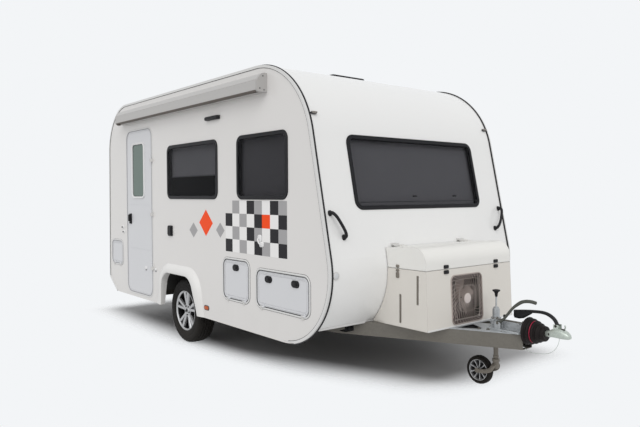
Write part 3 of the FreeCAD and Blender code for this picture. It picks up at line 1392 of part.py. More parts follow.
def moulding(name, side, inner_side, gap):
    # A hollow half of the box, open at the seam, with its back along the front panel.
    outer = cut(name + "_outer", slab(name + "_blank", "XZ", [side], "2 * box_half", "-box_half"),
                slab(name + "_clear", "XZ", [profile(-gap)], "body_width", right_skin))
    hollow = cut(name + "_hollow",
                 slab(name + "_hollow_blank", "XZ", [inner_side], "2 * box_half - 2 * box_wall", "box_wall - box_half"),
                 slab(name + "_back", "XZ", [profile(-gap - mm.box_wall)], "body_width", right_skin))
    return cut(name + "_shell", outer, hollow)


opening_half_width = mm.grille_half_width - mm.grille_lap
opening_half_height = mm.grille_half_height - mm.grille_lap
grille_hole = slab("grille_hole", "YZ", [rectangle(
    mm.fan_side - opening_half_width, mm.fan_height - opening_half_height, mm.fan_side + opening_half_width,
    mm.fan_height + opening_half_height, mm.grille_corner)],
    "box_front_low - box_front_high + box_wall + 2 * overcut", "box_front_high - box_wall - overcut")
slots = []
for name, setback, low in (("front_slot", mm.front_slot_setback, mm.front_slot_low),
                           ("rear_slot", mm.rear_slot_setback, mm.rear_slot_low)):
    x = mm.box_front_low - setback
    slots.append(slab(name, "XZ", [rectangle(x - mm.slot_width / 2, low, x + mm.slot_width / 2, low + mm.slot_rise,
                                             0.49 * mm.slot_width)],
                      "2 * box_half + 2 * overcut", "-box_half - overcut"))
box_shell = cut("box_shell_open", moulding("box", box_side, box_inner_side, mm.box_gap), grille_hole, *slots)
seal = cut(
    "box_seal",
    block("box_seal_blank", "box_front_high - box_wall / 3 - seal_rear", "2 * box_half - box_wall", "seam_gap",
          "seal_rear", "box_wall / 2 - box_half", "box_seam - seat_gap"),
    block("box_seal_inside", "box_front_high - box_wall - seal_rear + overcut", "2 * box_half - 2 * box_wall",
          "seam_gap + 2 * overcut", "seal_rear - overcut", "box_wall - box_half", "box_seam - overcut"),
)
node("front_box", fuse("box_with_seal", box_shell, seal))

lid_parts = [moulding("lid", lid_side, lid_inner_side, 2 * mm.box_gap)]
for word, y in (("right", "lid_hinge_in - box_half"), ("left", "box_half - lid_hinge_in")):
    name = "lid_hinge_" + word
    leaf = block(name + "_leaf", "4 * lid_leaf", "lid_hinge_length", "lid_leaf", "lid_pin_place", y,
                 "lid_pin_height - lid_leaf")
    plate = cut(name + "_plate",
                block(name + "_plate_blank", "lid_plate_length", "lid_hinge_length", "lid_plate_rise",
                      "lid_pin_place - lid_plate_length", y + " - lid_hinge_length - seat_gap", "lid_pin_height"),
                slab(name + "_plate_clear", "XZ", [profile(-mm.seat_gap)], "body_width", right_skin))
    moving, fixed = hinge(name, "+y", "hatch_knuckle", "hatch_pin", "lid_hinge_length",
                          {"x": "lid_pin_place", "y": y, "z": "lid_pin_height"}, leaf, plate)
    lid_parts.append(moving)
    fixed_hinges.append(fixed)
node("front_box_lid", fuse("lid_with_hinges", *lid_parts))
node("cabin_hinges", *fixed_hinges)

# Air conditioner inside the front box, with its fan behind the grille

hub_start = "cooler_front + fan_motor_length + seat_gap"
node("air_conditioner", fuse(
    "cooler_with_motor",
    block("cooler", "cooler_length", "cooler_width", "cooler_height", "cooler_front - cooler_length",
          "fan_side - cooler_width / 2", "sill_height + box_wall"),
    rod("fan_motor", "fan_motor_radius", "fan_motor_length + overcut", "+x", "cooler_front - overcut", "fan_side",
        "fan_height"),
    rod("fan_shaft", "fan_shaft_radius", "fan_shaft_length", "+x", "cooler_front", "fan_side", "fan_height"),
))
fan_hub = cut(
    "fan_hub",
    rod("fan_hub_blank", "fan_hub_radius", "fan_hub_length", "+x", hub_start, "fan_side", "fan_height"),
    rod("fan_hub_bore", "fan_shaft_radius + running_gap", "fan_hub_length + 2 * overcut", "+x",
        hub_start + " - overcut", "fan_side", "fan_height"),
)
blade_outline = [(-mm.blade_root / 2, mm.fan_hub_radius - 2 * mm.blade_sheet),
                 (mm.blade_root / 2, mm.fan_hub_radius - 2 * mm.blade_sheet),
                 (mm.blade_tip / 2, mm.fan_radius), (-mm.blade_tip / 2, mm.fan_radius)]
blade_count = 5
blades = []
for i in range(blade_count):
    blade = slab("fan_blade_" + str(i), "YZ", [rounded(blade_outline, [0, 0, mm.blade_root / 2, mm.blade_root / 2])],
                 "blade_sheet", "-blade_sheet / 2")
    blade.Placement = Placement(Vector(), Rotation(Vector(1, 0, 0), 360 / blade_count * i)
                                .multiply(Rotation(Vector(0, 0, 1), -mm.blade_pitch)))
    blades.append(at(blade, hub_start + " + fan_hub_length / 2", "fan_side", "fan_height"))
node("fan_rotor", fuse("fan_hub_with_blades", fan_hub, *blades))

front_lean = math.atan(mm.box_lean / (mm.box_seam - mm.sill_height))
grille_place = mm.box_front_low - math.tan(front_lean) * (mm.fan_height - mm.sill_height) + mm.seat_gap
inner_half_width = mm.grille_half_width - mm.grille_band
inner_half_height = mm.grille_half_height - mm.grille_band
grille_parts = [
    slab("grille_rim", "YZ", [
        rectangle(-mm.grille_half_width, -mm.grille_half_height, mm.grille_half_width, mm.grille_half_height,
                  mm.grille_corner),
        rectangle(-inner_half_width, -inner_half_height, inner_half_width, inner_half_height,
                  mm.grille_corner - mm.grille_band / 2)], "grille_depth"),
    rod("grille_hub_plate", "grille_hub", "2 * grille_wire", "+x"),
]
wire_lap = mm.grille_wire  # how far each wire runs into the hub plate and the rim
for i in range(int(mm.grille_spokes)):
    angle = 2 * math.pi * (i + 0.5) / mm.grille_spokes
    reach = min(inner_half_width / abs(math.sin(angle)), inner_half_height / abs(math.cos(angle)),
                math.hypot(inner_half_width, inner_half_height) - 0.3 * mm.grille_corner)
    wire = slab("grille_wire_" + str(i), "YZ", [rectangle(-mm.grille_wire / 2, mm.grille_hub - wire_lap,
                                                          mm.grille_wire / 2, reach + wire_lap)], "grille_wire")
    wire.Placement = Placement(Vector(), Rotation(Vector(1, 0, 0), math.degrees(angle)))
    grille_parts.append(wire)
grille = fuse("grille_full", *grille_parts)
grille.Placement = Placement(Vector(), Rotation(Vector(0, 1, 0), -math.degrees(front_lean)))
node("fan_grille", at(grille, str(grille_place), "fan_side", "fan_height"))

# Roof ventilator, its lid hinged along the front edge

vent_lid_low = mm.roof_height + mm.vent_base + mm.seat_gap
vent_lid_high = vent_lid_low + mm.vent_lid
vent_lid_parts = [slab("vent_lid_shell", "XZ", [rounded(
    [(mm.vent_rear - mm.vent_lid_lap, vent_lid_low), (mm.vent_front + mm.overcut, vent_lid_low),
     (mm.vent_front + mm.overcut - mm.vent_lid_slope, vent_lid_high),
     (mm.vent_rear - mm.vent_lid_lap + mm.vent_lid_slope, vent_lid_high)],
    [0, 0, mm.vent_lid, mm.vent_lid])], "2 * vent_half + 2 * vent_lid_lap", "-vent_half - vent_lid_lap")]
vent_frame_parts = [slab("vent_frame", "XY", [
    rectangle(mm.vent_rear, -mm.vent_half, mm.vent_front, mm.vent_half, mm.vent_flange),
    rectangle(mm.vent_rear + mm.vent_flange, mm.vent_flange - mm.vent_half, mm.vent_front - mm.vent_flange,
              mm.vent_half - mm.vent_flange, mm.vent_flange / 2)], "vent_base", "roof_height")]
vent_notches = []
for word, y in (("right", "vent_hinge_in - vent_half"), ("left", "vent_half - vent_hinge_in")):
    name = "vent_hinge_" + word
    fixed_y = y + " - vent_hinge_length - seat_gap"
    leaf = block(name + "_leaf", "2 * vent_pin_out", "vent_hinge_length", "hatch_knuckle",
                 "vent_pin_place - 2 * vent_pin_out", y, "vent_pin_height")
    plate = block(name + "_post", "vent_pin_out + hatch_knuckle + overcut", "vent_hinge_length",
                  "vent_base + hatch_knuckle", "vent_front - overcut", fixed_y, "roof_height")
    moving, fixed = hinge(name, "+y", "hatch_knuckle", "hatch_pin", "vent_hinge_length",
                          {"x": "vent_pin_place", "y": y, "z": "vent_pin_height"}, leaf, plate)
    vent_lid_parts.append(moving)
    vent_frame_parts.append(fixed)
    vent_notches.append(block(name + "_notch", "2 * vent_lid_lap + vent_pin_out", "vent_hinge_length + 2 * seat_gap",
                              "2 * hatch_knuckle + 2 * overcut", "vent_front - vent_lid_lap", fixed_y + " - seat_gap",
                              "vent_pin_height - hatch_knuckle - overcut"))
node("roof_vent_frame", fuse("vent_frame_with_hinges", *vent_frame_parts))
node("roof_vent_lid", cut("vent_lid_full", fuse("vent_lid_with_hinges", *vent_lid_parts), *vent_notches))

# Grab handles on the front panel, each bowed out from its two feet

rake = math.atan2(mm.front_low_corner - mm.front_top_corner, mm.roof_height - mm.skirt_height)
grab_middle = (mm.grab_high + mm.grab_low) / 2
grab_place = mm.front_low_corner - math.tan(rake) * (grab_middle - mm.skirt_height)
grab_up = (mm.grab_high - mm.grab_low) / math.cos(rake)
grab_sideways = mm.grab_inset_low - mm.grab_inset_high
grab_reach = math.hypot(grab_up, grab_sideways) / 2 + mm.grab_bar / 2
bar_in = mm.grab_proud - mm.grab_bar
grab_outline = rounded([
    (-mm.grab_bar, -grab_reach), (mm.grab_proud, -grab_reach), (mm.grab_proud, grab_reach), (-mm.grab_bar, grab_reach),
    (-mm.grab_bar, grab_reach - mm.grab_bar), (bar_in, grab_reach - mm.grab_bar), (bar_in, mm.grab_bar - grab_reach),
    (-mm.grab_bar, mm.grab_bar - grab_reach)],
    [0, mm.grab_bend, mm.grab_bend, 0, 0, mm.grab_bend - mm.grab_bar, mm.grab_bend - mm.grab_bar, 0])
handles = []
for side_name, side in (("right", -1), ("left", 1)):
    bow = slab(side_name + "_grab_bow", "XZ", [grab_outline], "grab_bar", "-grab_bar / 2")
    lean = -side * math.degrees(math.atan2(grab_sideways, grab_up))
    bow.Placement = Placement(Vector(), Rotation(Vector(0, 1, 0), -math.degrees(rake))
                              .multiply(Rotation(Vector(1, 0, 0), lean)))
    at(bow, str(grab_place), str(side * (half - (mm.grab_inset_high + mm.grab_inset_low) / 2)), str(grab_middle))
    handles.append(cut(side_name + "_grab_handle", bow,
                       slab(side_name + "_grab_clear", "XZ", [profile(-mm.seat_gap)], "body_width", right_skin)))
node("grab_handles", *handles)

# Lamps: upper markers on the front, side markers in the skirt, one lamp below the awning, rear clusters

lamps = [
    common(side_name + "_marker", skin_layer(side_name + "_marker_layer", mm.marker_proud),
           rod(side_name + "_marker_round", "marker_radius", "front_low_corner - roof_front_joint", "+x",
               "roof_front_joint", y, "marker_height"))
    for side_name, y in (("right", "marker_inset - half_width"), ("left", "half_width - marker_inset"))
]
side_marker_outline = rectangle(
    mm.side_marker_ahead - mm.side_marker_half, mm.side_marker_height - mm.side_marker_rise / 2,
    mm.side_marker_ahead + mm.side_marker_half, mm.side_marker_height + mm.side_marker_rise / 2,
    0.49 * mm.side_marker_rise)
for side_name, y in (("right", right_skin + " - side_marker_proud"), ("left", left_skin)):
    lamps.append(slab(side_name + "_side_marker", "XZ", [side_marker_outline], "side_marker_proud", y))
lamps.append(block("porch_lamp", "porch_lamp_length", "porch_lamp_proud", "porch_lamp_rise", "porch_lamp_rear",
                   right_skin + " - porch_lamp_proud", "awning_low - porch_lamp_below - porch_lamp_rise"))
node("marker_lamps", *lamps)

rear_reach = "rear_low_corner - roof_rear_joint + rear_lamp_proud + bumper_proud"
rear_end = "-rear_low_corner - rear_lamp_proud - bumper_proud"
rear_lamps = [
    common(side_name + "_rear_lamp", skin_layer(side_name + "_rear_lamp_layer", mm.rear_lamp_proud),
           block(side_name + "_rear_lamp_block", rear_reach, "2 * rear_lamp_half", "rear_lamp_rise", rear_end,
                 y + " - rear_lamp_half", "rear_lamp_height"))
    for side_name, y in (("right", "rear_lamp_inset - half_width"), ("left", "half_width - rear_lamp_inset"))
]
node("rear_lamps", *rear_lamps)
node("rear_bumper", common(
    "bumper_strip", skin_layer("bumper_layer", mm.bumper_proud),
    block("bumper_block", rear_reach, "2 * half_width - 2 * bumper_inset", "bumper_rise", rear_end,
          "bumper_inset - half_width", "bumper_low")))

# Everything is worked out and checked before a file is written.

most_nodes = 60
doc.recompute()
for item in doc.Objects:
    if "Invalid" in item.State or "Error" in item.State:
        raise RuntimeError("object " + item.Name + " is in state " + str(item.State))
for item in nodes:
    if item.Shape.isNull() or not item.Shape.isValid() or not item.Shape.Solids:
        raise RuntimeError("node " + item.Label + " has no valid solid")
if len(nodes) > most_nodes:
    raise RuntimeError(str(len(nodes)) + " nodes are too many")
os.makedirs("parts", exist_ok=True)
for item in nodes:
    item.Shape.exportStep("parts/" + item.Label + ".step")
    box = item.Shape.BoundBox
    reach = [round(value, 1) for value in (box.XMin, box.XMax, box.YMin, box.YMax, box.ZMin, box.ZMax)]
    print(item.Label, "solids", len(item.Shape.Solids), "box", *reach)
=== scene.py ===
import math

import bmesh
import bpy
from mathutils import Matrix, Vector


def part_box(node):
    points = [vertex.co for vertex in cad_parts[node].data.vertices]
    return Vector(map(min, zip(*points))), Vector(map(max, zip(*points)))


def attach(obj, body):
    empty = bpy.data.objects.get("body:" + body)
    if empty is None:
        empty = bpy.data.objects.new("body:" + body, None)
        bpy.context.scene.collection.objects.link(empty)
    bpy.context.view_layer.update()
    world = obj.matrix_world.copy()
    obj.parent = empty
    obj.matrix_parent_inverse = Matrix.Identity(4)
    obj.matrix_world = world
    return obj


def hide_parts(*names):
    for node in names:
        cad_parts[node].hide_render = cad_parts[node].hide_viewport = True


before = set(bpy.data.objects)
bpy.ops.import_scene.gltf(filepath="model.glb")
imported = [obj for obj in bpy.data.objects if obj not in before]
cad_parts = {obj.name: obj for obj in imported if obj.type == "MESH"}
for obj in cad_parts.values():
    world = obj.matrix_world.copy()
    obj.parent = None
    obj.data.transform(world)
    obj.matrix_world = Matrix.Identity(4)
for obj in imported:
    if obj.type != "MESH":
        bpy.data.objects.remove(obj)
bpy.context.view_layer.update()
print("frame loaded:", len(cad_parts), "nodes")

# the axle's middle, on the ground: everything below is measured from it, forward, to the left and up
rightLow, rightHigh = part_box("tyre_right")
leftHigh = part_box("tyre_left")[1]
axle = Vector(((rightLow.x + rightHigh.x) / 2, (rightLow.y + leftHigh.y) / 2, 0))
bodyHalf = 1.105
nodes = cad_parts


def addThing(name, data):
    thing = bpy.data.objects.new(name, data)
    bpy.context.scene.collection.objects.link(thing)
    return thing


# the camera stands where the photograph was taken; its focal length is in the photograph's pixels
view = {"focal": 619.18, "yaw": 50.807, "pitch": -1.7385, "roll": -0.2096, "place": (5.758, -3.95, 1.506),
        "sensor": 36.0, "photoWide": 640, "farthest": 200}
yaw, pitch, roll = (math.radians(view[key]) for key in ("yaw", "pitch", "roll"))
ahead = Vector((-math.sin(yaw), math.cos(yaw), 0))
aside = Vector((math.cos(yaw), math.sin(yaw), 0))
aloft = Vector((0, 0, 1))
look = ahead * math.cos(pitch) + aloft * math.sin(pitch)
lookUp = -ahead * math.sin(pitch) + aloft * math.cos(pitch)
rightward = aside * math.cos(roll) + lookUp * math.sin(roll)
upward = -aside * math.sin(roll) + lookUp * math.cos(roll)
lens = bpy.data.cameras.new("PhotoCamera")
lens.sensor_width = view["sensor"]
lens.sensor_fit = "HORIZONTAL"
lens.lens = view["focal"] * view["sensor"] / view["photoWide"]
lens.clip_end = view["farthest"]
lens.dof.use_dof = False
camera = addThing("PhotoCamera", lens)
turn = Matrix((rightward, upward, -look)).transposed().to_4x4()
camera.matrix_world = Matrix.Translation(Vector(view["place"]) + axle) @ turn
bpy.context.scene.camera = camera


# colours are written as they show on a screen, 0 to 255
def tone(red, green, blue):
    parts = []
    for value in (red, green, blue):
        part = value / 255
        parts.append(part / 12.92 if part <= 0.04045 else ((part + 0.055) / 1.055) ** 2.4)
    return (*parts, 1.0)


# what several finishes share is a node group
def newGroup(name, inputs, outputs):
    tree = bpy.data.node_groups.new(name, "ShaderNodeTree")
    for label, kind, value in inputs:
        socket = tree.interface.new_socket(label, in_out="INPUT", socket_type="NodeSocket" + kind)
        socket.default_value = value
    for label, kind in outputs:
        tree.interface.new_socket(label, in_out="OUTPUT", socket_type="NodeSocket" + kind)
    return tree, tree.nodes.new("NodeGroupInput"), tree.nodes.new("NodeGroupOutput")


def setInputs(node, values):
    for key, value in values.items():
        node.inputs[key].default_value = value


def joinUp(tree, node, links):
    for key, source in links.items():
        tree.links.new(source, node.inputs[key])


def addNode(tree, kind, links=None, values=None, **settings):
    node = tree.nodes.new("ShaderNode" + kind)
    for key, value in settings.items():
        setattr(node, key, value)
    setInputs(node, values or {})
    joinUp(tree, node, links or {})
    return node


# a value that swings round 0.5 makes a colour lighter or darker
def shadeBy(tree, value, amount, colour):
    centred = addNode(tree, "Math", {0: value}, {1: 0.5}, operation="SUBTRACT")
    swing = addNode(tree, "Math", {0: centred.outputs[0], 1: amount}, {2: 1.0}, operation="MULTIPLY_ADD")
    return addNode(tree, "HueSaturation", {"Value": swing.outputs[0], "Color": colour}).outputs["Color"]


# broad shade and fine grain, for every finish
mottle, mottleIn, mottleOut = newGroup(
    "Mottle",
    [("Base", "Color", (0.5, 0.5, 0.5, 1)), ("Shade", "Float", 0.05), ("Size", "Float", 4.0),
     ("Rough", "Float", 0.4), ("Rough Spread", "Float", 0.1), ("Grain", "Float", 60.0)],
    [("Color", "Color"), ("Roughness", "Float"), ("Height", "Float")],
)
place = addNode(mottle, "TexCoord")
broad = addNode(mottle, "TexNoise", {"Vector": place.outputs["Object"], "Scale": mottleIn.outputs["Size"]},
                {"Detail": 3.0, "Roughness": 0.55})
fine = addNode(mottle, "TexNoise", {"Vector": place.outputs["Object"], "Scale": mottleIn.outputs["Grain"]},
               {"Detail": 2.0, "Roughness": 0.6})
shaded = shadeBy(mottle, broad.outputs["Fac"], mottleIn.outputs["Shade"], mottleIn.outputs["Base"])
fineCentred = addNode(mottle, "Math", {0: fine.outputs["Fac"]}, {1: 0.5}, operation="SUBTRACT")
roughness = addNode(mottle, "Math", {0: fineCentred.outputs[0], 1: mottleIn.outputs["Rough Spread"],
                                     2: mottleIn.outputs["Rough"]}, operation="MULTIPLY_ADD", use_clamp=True)
joinUp(mottle, mottleOut, {"Color": shaded, "Roughness": roughness.outputs[0], "Height": fine.outputs["Fac"]})

# dust and splashes that thicken towards the ground
roadFilm, filmIn, filmOut = newGroup(
    "Road Film",
    [("Color", "Color", (0.5, 0.5, 0.5, 1)), ("Film", "Color", tone(120, 112, 100)), ("Top", "Float", 0.9),
     ("Bottom", "Float", 0.1), ("Amount", "Float", 0.3)],
    [("Color", "Color"), ("Mask", "Float")],
)
filmPlace = addNode(roadFilm, "TexCoord")
filmAxes = addNode(roadFilm, "SeparateXYZ", {0: filmPlace.outputs["Object"]})
filmNoise = addNode(roadFilm, "TexNoise", {"Vector": filmPlace.outputs["Object"]}, {"Scale": 7.0, "Detail": 5.0})
filmRise = addNode(roadFilm, "MapRange", {"Value": filmAxes.outputs["Z"], "From Min": filmIn.outputs["Top"],
                                          "From Max": filmIn.outputs["Bottom"]})
filmCloud = addNode(roadFilm, "MapRange", {"Value": filmNoise.outputs["Fac"]},
                    {"From Min": 0.3, "From Max": 0.7, "To Min": 0.4, "To Max": 1.0})
filmPart = addNode(roadFilm, "Math", {0: filmRise.outputs[0], 1: filmCloud.outputs[0]}, operation="MULTIPLY")
filmMask = addNode(roadFilm, "Math", {0: filmPart.outputs[0], 1: filmIn.outputs["Amount"]},
                   operation="MULTIPLY", use_clamp=True)
filmMix = addNode(roadFilm, "Mix", {"Factor": filmMask.outputs[0], 6: filmIn.outputs["Color"],
                                    7: filmIn.outputs["Film"]}, data_type="RGBA")
joinUp(roadFilm, filmOut, {"Color": filmMix.outputs[2], "Mask": filmMask.outputs[0]})

# zinc spangle: small crystals, each a little lighter or darker
spangle, spangleIn, spangleOut = newGroup(
    "Zinc Spangle",
    [("Color", "Color", (0.5, 0.5, 0.5, 1)), ("Size", "Float", 90.0), ("Amount", "Float", 0.25)],
    [("Color", "Color"), ("Mask", "Float")],
)
spanglePlace = addNode(spangle, "TexCoord")
spangleCells = addNode(spangle, "TexVoronoi", {"Vector": spanglePlace.outputs["Object"],
                                               "Scale": spangleIn.outputs["Size"]})
spangleTone = addNode(spangle, "SeparateColor", {0: spangleCells.outputs["Color"]})
spangleShade = shadeBy(spangle, spangleTone.outputs[0], spangleIn.outputs["Amount"], spangleIn.outputs["Color"])
joinUp(spangle, spangleOut, {"Color": spangleShade, "Mask": spangleTone.outputs[0]})


def newMaterial(name):
    material = bpy.data.materials.new(name)
    material.use_nodes = True
    return material, material.node_tree, material.node_tree.nodes["Principled BSDF"]


# the material is named after its key: wallSkin gives WallSkin
def finish(key, base, rough=0.5, shade=0.1, size=4, spread=0.1, grain=200, bump=0.05, metallic=0, coat=0, edge=0,
           film=0, filmTop=0.8, filmColour=(120, 112, 100), crystals=0, crystalSize=90, shine=0.4):
    material, tree, shader = newMaterial(key[0].upper() + key[1:])
    setInputs(shader, {"Metallic": metallic, "Coat Weight": coat, "Coat Roughness": 0.1,
                       "Specular IOR Level": shine})
    mix = addNode(tree, "Group", None, {"Base": tone(*base), "Shade": shade, "Size": size, "Rough": rough,
                                        "Rough Spread": spread, "Grain": grain}, node_tree=mottle)
    colour = mix.outputs["Color"]
    if crystals:
        zinc = addNode(tree, "Group", {"Color": colour}, {"Size": crystalSize, "Amount": crystals}, node_tree=spangle)
        colour = zinc.outputs["Color"]
    if film:
        layer = addNode(tree, "Group", {"Color": colour}, {"Film": tone(*filmColour), "Top": filmTop, "Amount": film},
                        node_tree=roadFilm)
        colour = layer.outputs["Color"]
    bumpNode = addNode(tree, "Bump", {"Height": mix.outputs["Height"]}, {"Strength": bump, "Distance": 0.0005})
    if edge:
        soft = addNode(tree, "Bevel", values={"Radius": edge}, samples=4)
        joinUp(tree, bumpNode, {"Normal": soft.outputs["Normal"]})
    joinUp(tree, shader, {"Base Color": colour, "Roughness": mix.outputs["Roughness"],
                          "Normal": bumpNode.outputs["Normal"]})
    return material


looks = {
    "wallSkin": dict(base=(224, 222, 220), rough=0.34, shade=0.03, size=1.5, grain=240, bump=0.03, coat=0.25, film=0.1),
    "frontSkin": dict(base=(233, 233, 232), rough=0.3, shade=0.02, size=1.5, grain=90, bump=0.02, coat=0.4, film=0.1),
    "leafSkin": dict(base=(214, 215, 218), rough=0.36, shade=0.03, size=2, grain=240, bump=0.03, edge=0.003),
    "trimPale": dict(base=(218, 218, 217), rough=0.34, shade=0.03, grain=180, bump=0.03, edge=0.001),
    "beadDark": dict(base=(44, 44, 46), shade=0.12, bump=0.08, shine=0.1),
    "gasket": dict(base=(74, 74, 76), rough=0.6, shade=0.12, bump=0.08, shine=0.1),
    "gasketSoft": dict(base=(158, 158, 161), rough=0.6, bump=0.08, shine=0.1),
    "floorBoard": dict(base=(64, 61, 57), rough=0.8, shade=0.2, size=5, grain=90, bump=0.2, film=0.3),
    "archInner": dict(base=(40, 40, 41), rough=0.7, grain=120, bump=0.15, shine=0.1, film=0.15),
    "flareWhite": dict(base=(228, 227, 225), rough=0.3, shade=0.02, grain=120, bump=0.02, coat=0.25, film=0.1),
    "windowFrame": dict(base=(30, 30, 33), rough=0.36, shade=0.08, grain=300, shine=0.12),
    "paleFrame": dict(base=(228, 228, 228), rough=0.35, shade=0.02, bump=0.02),
    "handleBlack": dict(base=(30, 30, 32), rough=0.42, grain=300, bump=0.08, shine=0.12),
    "hingeGrey": dict(base=(208, 207, 205), rough=0.4, shade=0.04, edge=0.002),
    "awningMetal": dict(base=(184, 182, 180), rough=0.38, shade=0.04, grain=180, bump=0.03, metallic=0.2, edge=0.002),
    "awningCap": dict(base=(176, 174, 172), rough=0.45, shade=0.05, grain=220, edge=0.003),
    "awningLip": dict(base=(98, 92, 87), shade=0.08, grain=220, shine=0.1),
    "galvanised": dict(base=(106, 103, 97), shade=0.22, size=9, grain=120, bump=0.12, spread=0.25, metallic=0.35,
                       edge=0.002, film=0.3, filmTop=0.7, crystals=0.12),
    "plateZinc": dict(base=(170, 174, 177), rough=0.42, shade=0.22, size=14, grain=120, bump=0.12, spread=0.25,
                      metallic=0.2, edge=0.002, film=0.15, crystals=0.2),
    "castIron": dict(base=(46, 45, 44), rough=0.6, shade=0.2, size=20, bump=0.3, metallic=0.4, film=0.3),
    "tyreRubber": dict(base=(21, 20, 20), rough=0.68, shade=0.12, size=14, grain=260, bump=0.2, shine=0.12, film=0.08,
                       filmTop=0.7),
    "alloy": dict(base=(180, 180, 181), rough=0.3, shade=0.05, grain=400, bump=0.03, metallic=0.75),
    "rimDark": dict(base=(22, 22, 24), rough=0.4, shine=0.12, metallic=0.2),
    "bellowsRubber": dict(base=(21, 19, 20), rough=0.55, shade=0.2, size=12, bump=0.15, shine=0.15, film=0.1,
                          filmTop=1.1, filmColour=(96, 74, 66)),
    "zincPale": dict(base=(186, 194, 186), rough=0.36, shade=0.16, size=24, grain=160, bump=0.08, spread=0.2,
                     metallic=0.6, edge=0.0015, crystals=0.12, crystalSize=140),
    "gripBlack": dict(base=(34, 34, 36), grain=300, bump=0.15, shine=0.15),
    "leverOlive": dict(base=(82, 84, 78), shade=0.15, size=18, grain=220, bump=0.12, metallic=0.3, film=0.1),
    "lidSkin": dict(base=(232, 231, 227), rough=0.36, shade=0.02, grain=160, bump=0.04, edge=0.01),
    "boxSkin": dict(base=(219, 215, 208), rough=0.4, shade=0.03, grain=160, bump=0.04, edge=0.01, film=0.12),
    "grillePale": dict(base=(164, 153, 147), rough=0.45, shade=0.06, metallic=0.1),
    "grilleHub": dict(base=(206, 196, 192), rough=0.4, shade=0.04),
    "unitCase": dict(base=(84, 74, 70), grain=120),
    "fanDark": dict(base=(150, 136, 129), rough=0.45, grain=120),
    "ventDark": dict(base=(52, 52, 54), rough=0.4, shade=0.08, grain=160, edge=0.003),
    "blindGrey": dict(base=(174, 174, 181), rough=0.8, shade=0.05, grain=300, bump=0.1, shine=0.1),
    "blindDark": dict(base=(134, 133, 139), rough=0.8, shade=0.08, grain=300, bump=0.1, shine=0.1),
    "innerDark": dict(base=(14, 14, 16), rough=0.9, shade=0.3, grain=60, bump=0.1, shine=0.05),
    "lensAmber": dict(base=(184, 84, 24), rough=0.25, shade=0.05, grain=260, shine=0.2, coat=0.1),
    "lensRed": dict(base=(176, 26, 22), rough=0.25, shade=0.05, grain=260, coat=0.5),
    "lensClear": dict(base=(206, 208, 210), rough=0.2, shade=0.04, grain=260, coat=0.5),
    "lensSmoke": dict(base=(128, 122, 116), rough=0.3, shade=0.06, grain=260, coat=0.4),
    "legBrown": dict(base=(122, 116, 108), shade=0.15, size=18, grain=220, bump=0.1, metallic=0.3, film=0.2),
    "tieRed": dict(base=(168, 34, 66), shade=0.05),
    "bumperWhite": dict(base=(222, 222, 221), rough=0.4, shade=0.03, grain=160, edge=0.004, film=0.15),
}
finishes = {key: finish(key, **look) for key, look in looks.items()}

glass = {"size": 1.2, "rough": 0.06, "spread": 0.02, "shine": 0.06}


def glazing(name, tint, dark, alpha):
    material, tree, shader = newMaterial(name)
    mix = addNode(tree, "Group", None, {"Base": tone(*tint), "Shade": dark, "Size": glass["size"],
                                        "Rough": glass["rough"], "Rough Spread": glass["spread"]}, node_tree=mottle)
    joinUp(tree, shader, {"Base Color": mix.outputs["Color"], "Roughness": mix.outputs["Roughness"]})
    setInputs(shader, {"Alpha": alpha, "Specular IOR Level": glass["shine"]})
    return material


# the tinted panes' strong broad mottle stands in for reflections in the glass: a painted reflection
finishes["panes"] = glazing("PaneTinted", (17, 17, 20), 0.3, 0.35)
finishes["doorPane"] = glazing("DoorPane", (126, 141, 135), 0.08, 0.86)

nodeFinishes = {
    "side_wall_right": "wallSkin", "side_wall_left": "wallSkin", "front_panel": "frontSkin",
    "rear_panel": "frontSkin", "roof_panel": "frontSkin", "floor": "floorBoard", "wheel_housings": "archInner",
    "wheel_arch_flares": "flareWhite", "edge_trims": "trimPale", "window_frames": "windowFrame",
    "window_panes": "panes", "entrance_door": "leafSkin", "door_window_frame": "paleFrame",
    "door_pane": "doorPane", "door_handle": "handleBlack", "middle_hatch": "leafSkin",
    "front_hatch": "leafSkin", "service_hatch": "leafSkin", "awning_case": "awningMetal",
    "awning_end_caps": "awningCap", "drawbar_plate": "plateZinc", "brake_drum_right": "castIron",
    "brake_drum_left": "castIron", "overrun_housing": "plateZinc", "coupling_bellows": "bellowsRubber",
    "coupling_head": "zincPale", "coupling_handle": "gripBlack", "handbrake_lever": "leverOlive",
    "jockey_post": "plateZinc", "jockey_leg": "legBrown", "jockey_fork": "legBrown",
    "jockey_tyre": "tyreRubber", "jockey_disc": "rimDark", "front_box": "boxSkin", "front_box_lid": "lidSkin",
    "cabin_hinges": "hingeGrey", "air_conditioner": "unitCase", "fan_rotor": "fanDark",
    "fan_grille": "grillePale", "roof_vent_frame": "ventDark", "roof_vent_lid": "ventDark",
    "grab_handles": "gripBlack", "tyre_right": "tyreRubber", "tyre_left": "tyreRubber",
    "rim_right": "alloy", "rim_left": "alloy", "marker_lamps": "lensSmoke", "rear_lamps": "lensRed",
    "rear_bumper": "bumperWhite",
}
for nodeName, thing in nodes.items():
    thing.data.materials.clear()
    thing.data.materials.append(finishes[nodeFinishes.get(nodeName, "galvanised")])
print("finishes on the solids:", len(finishes))


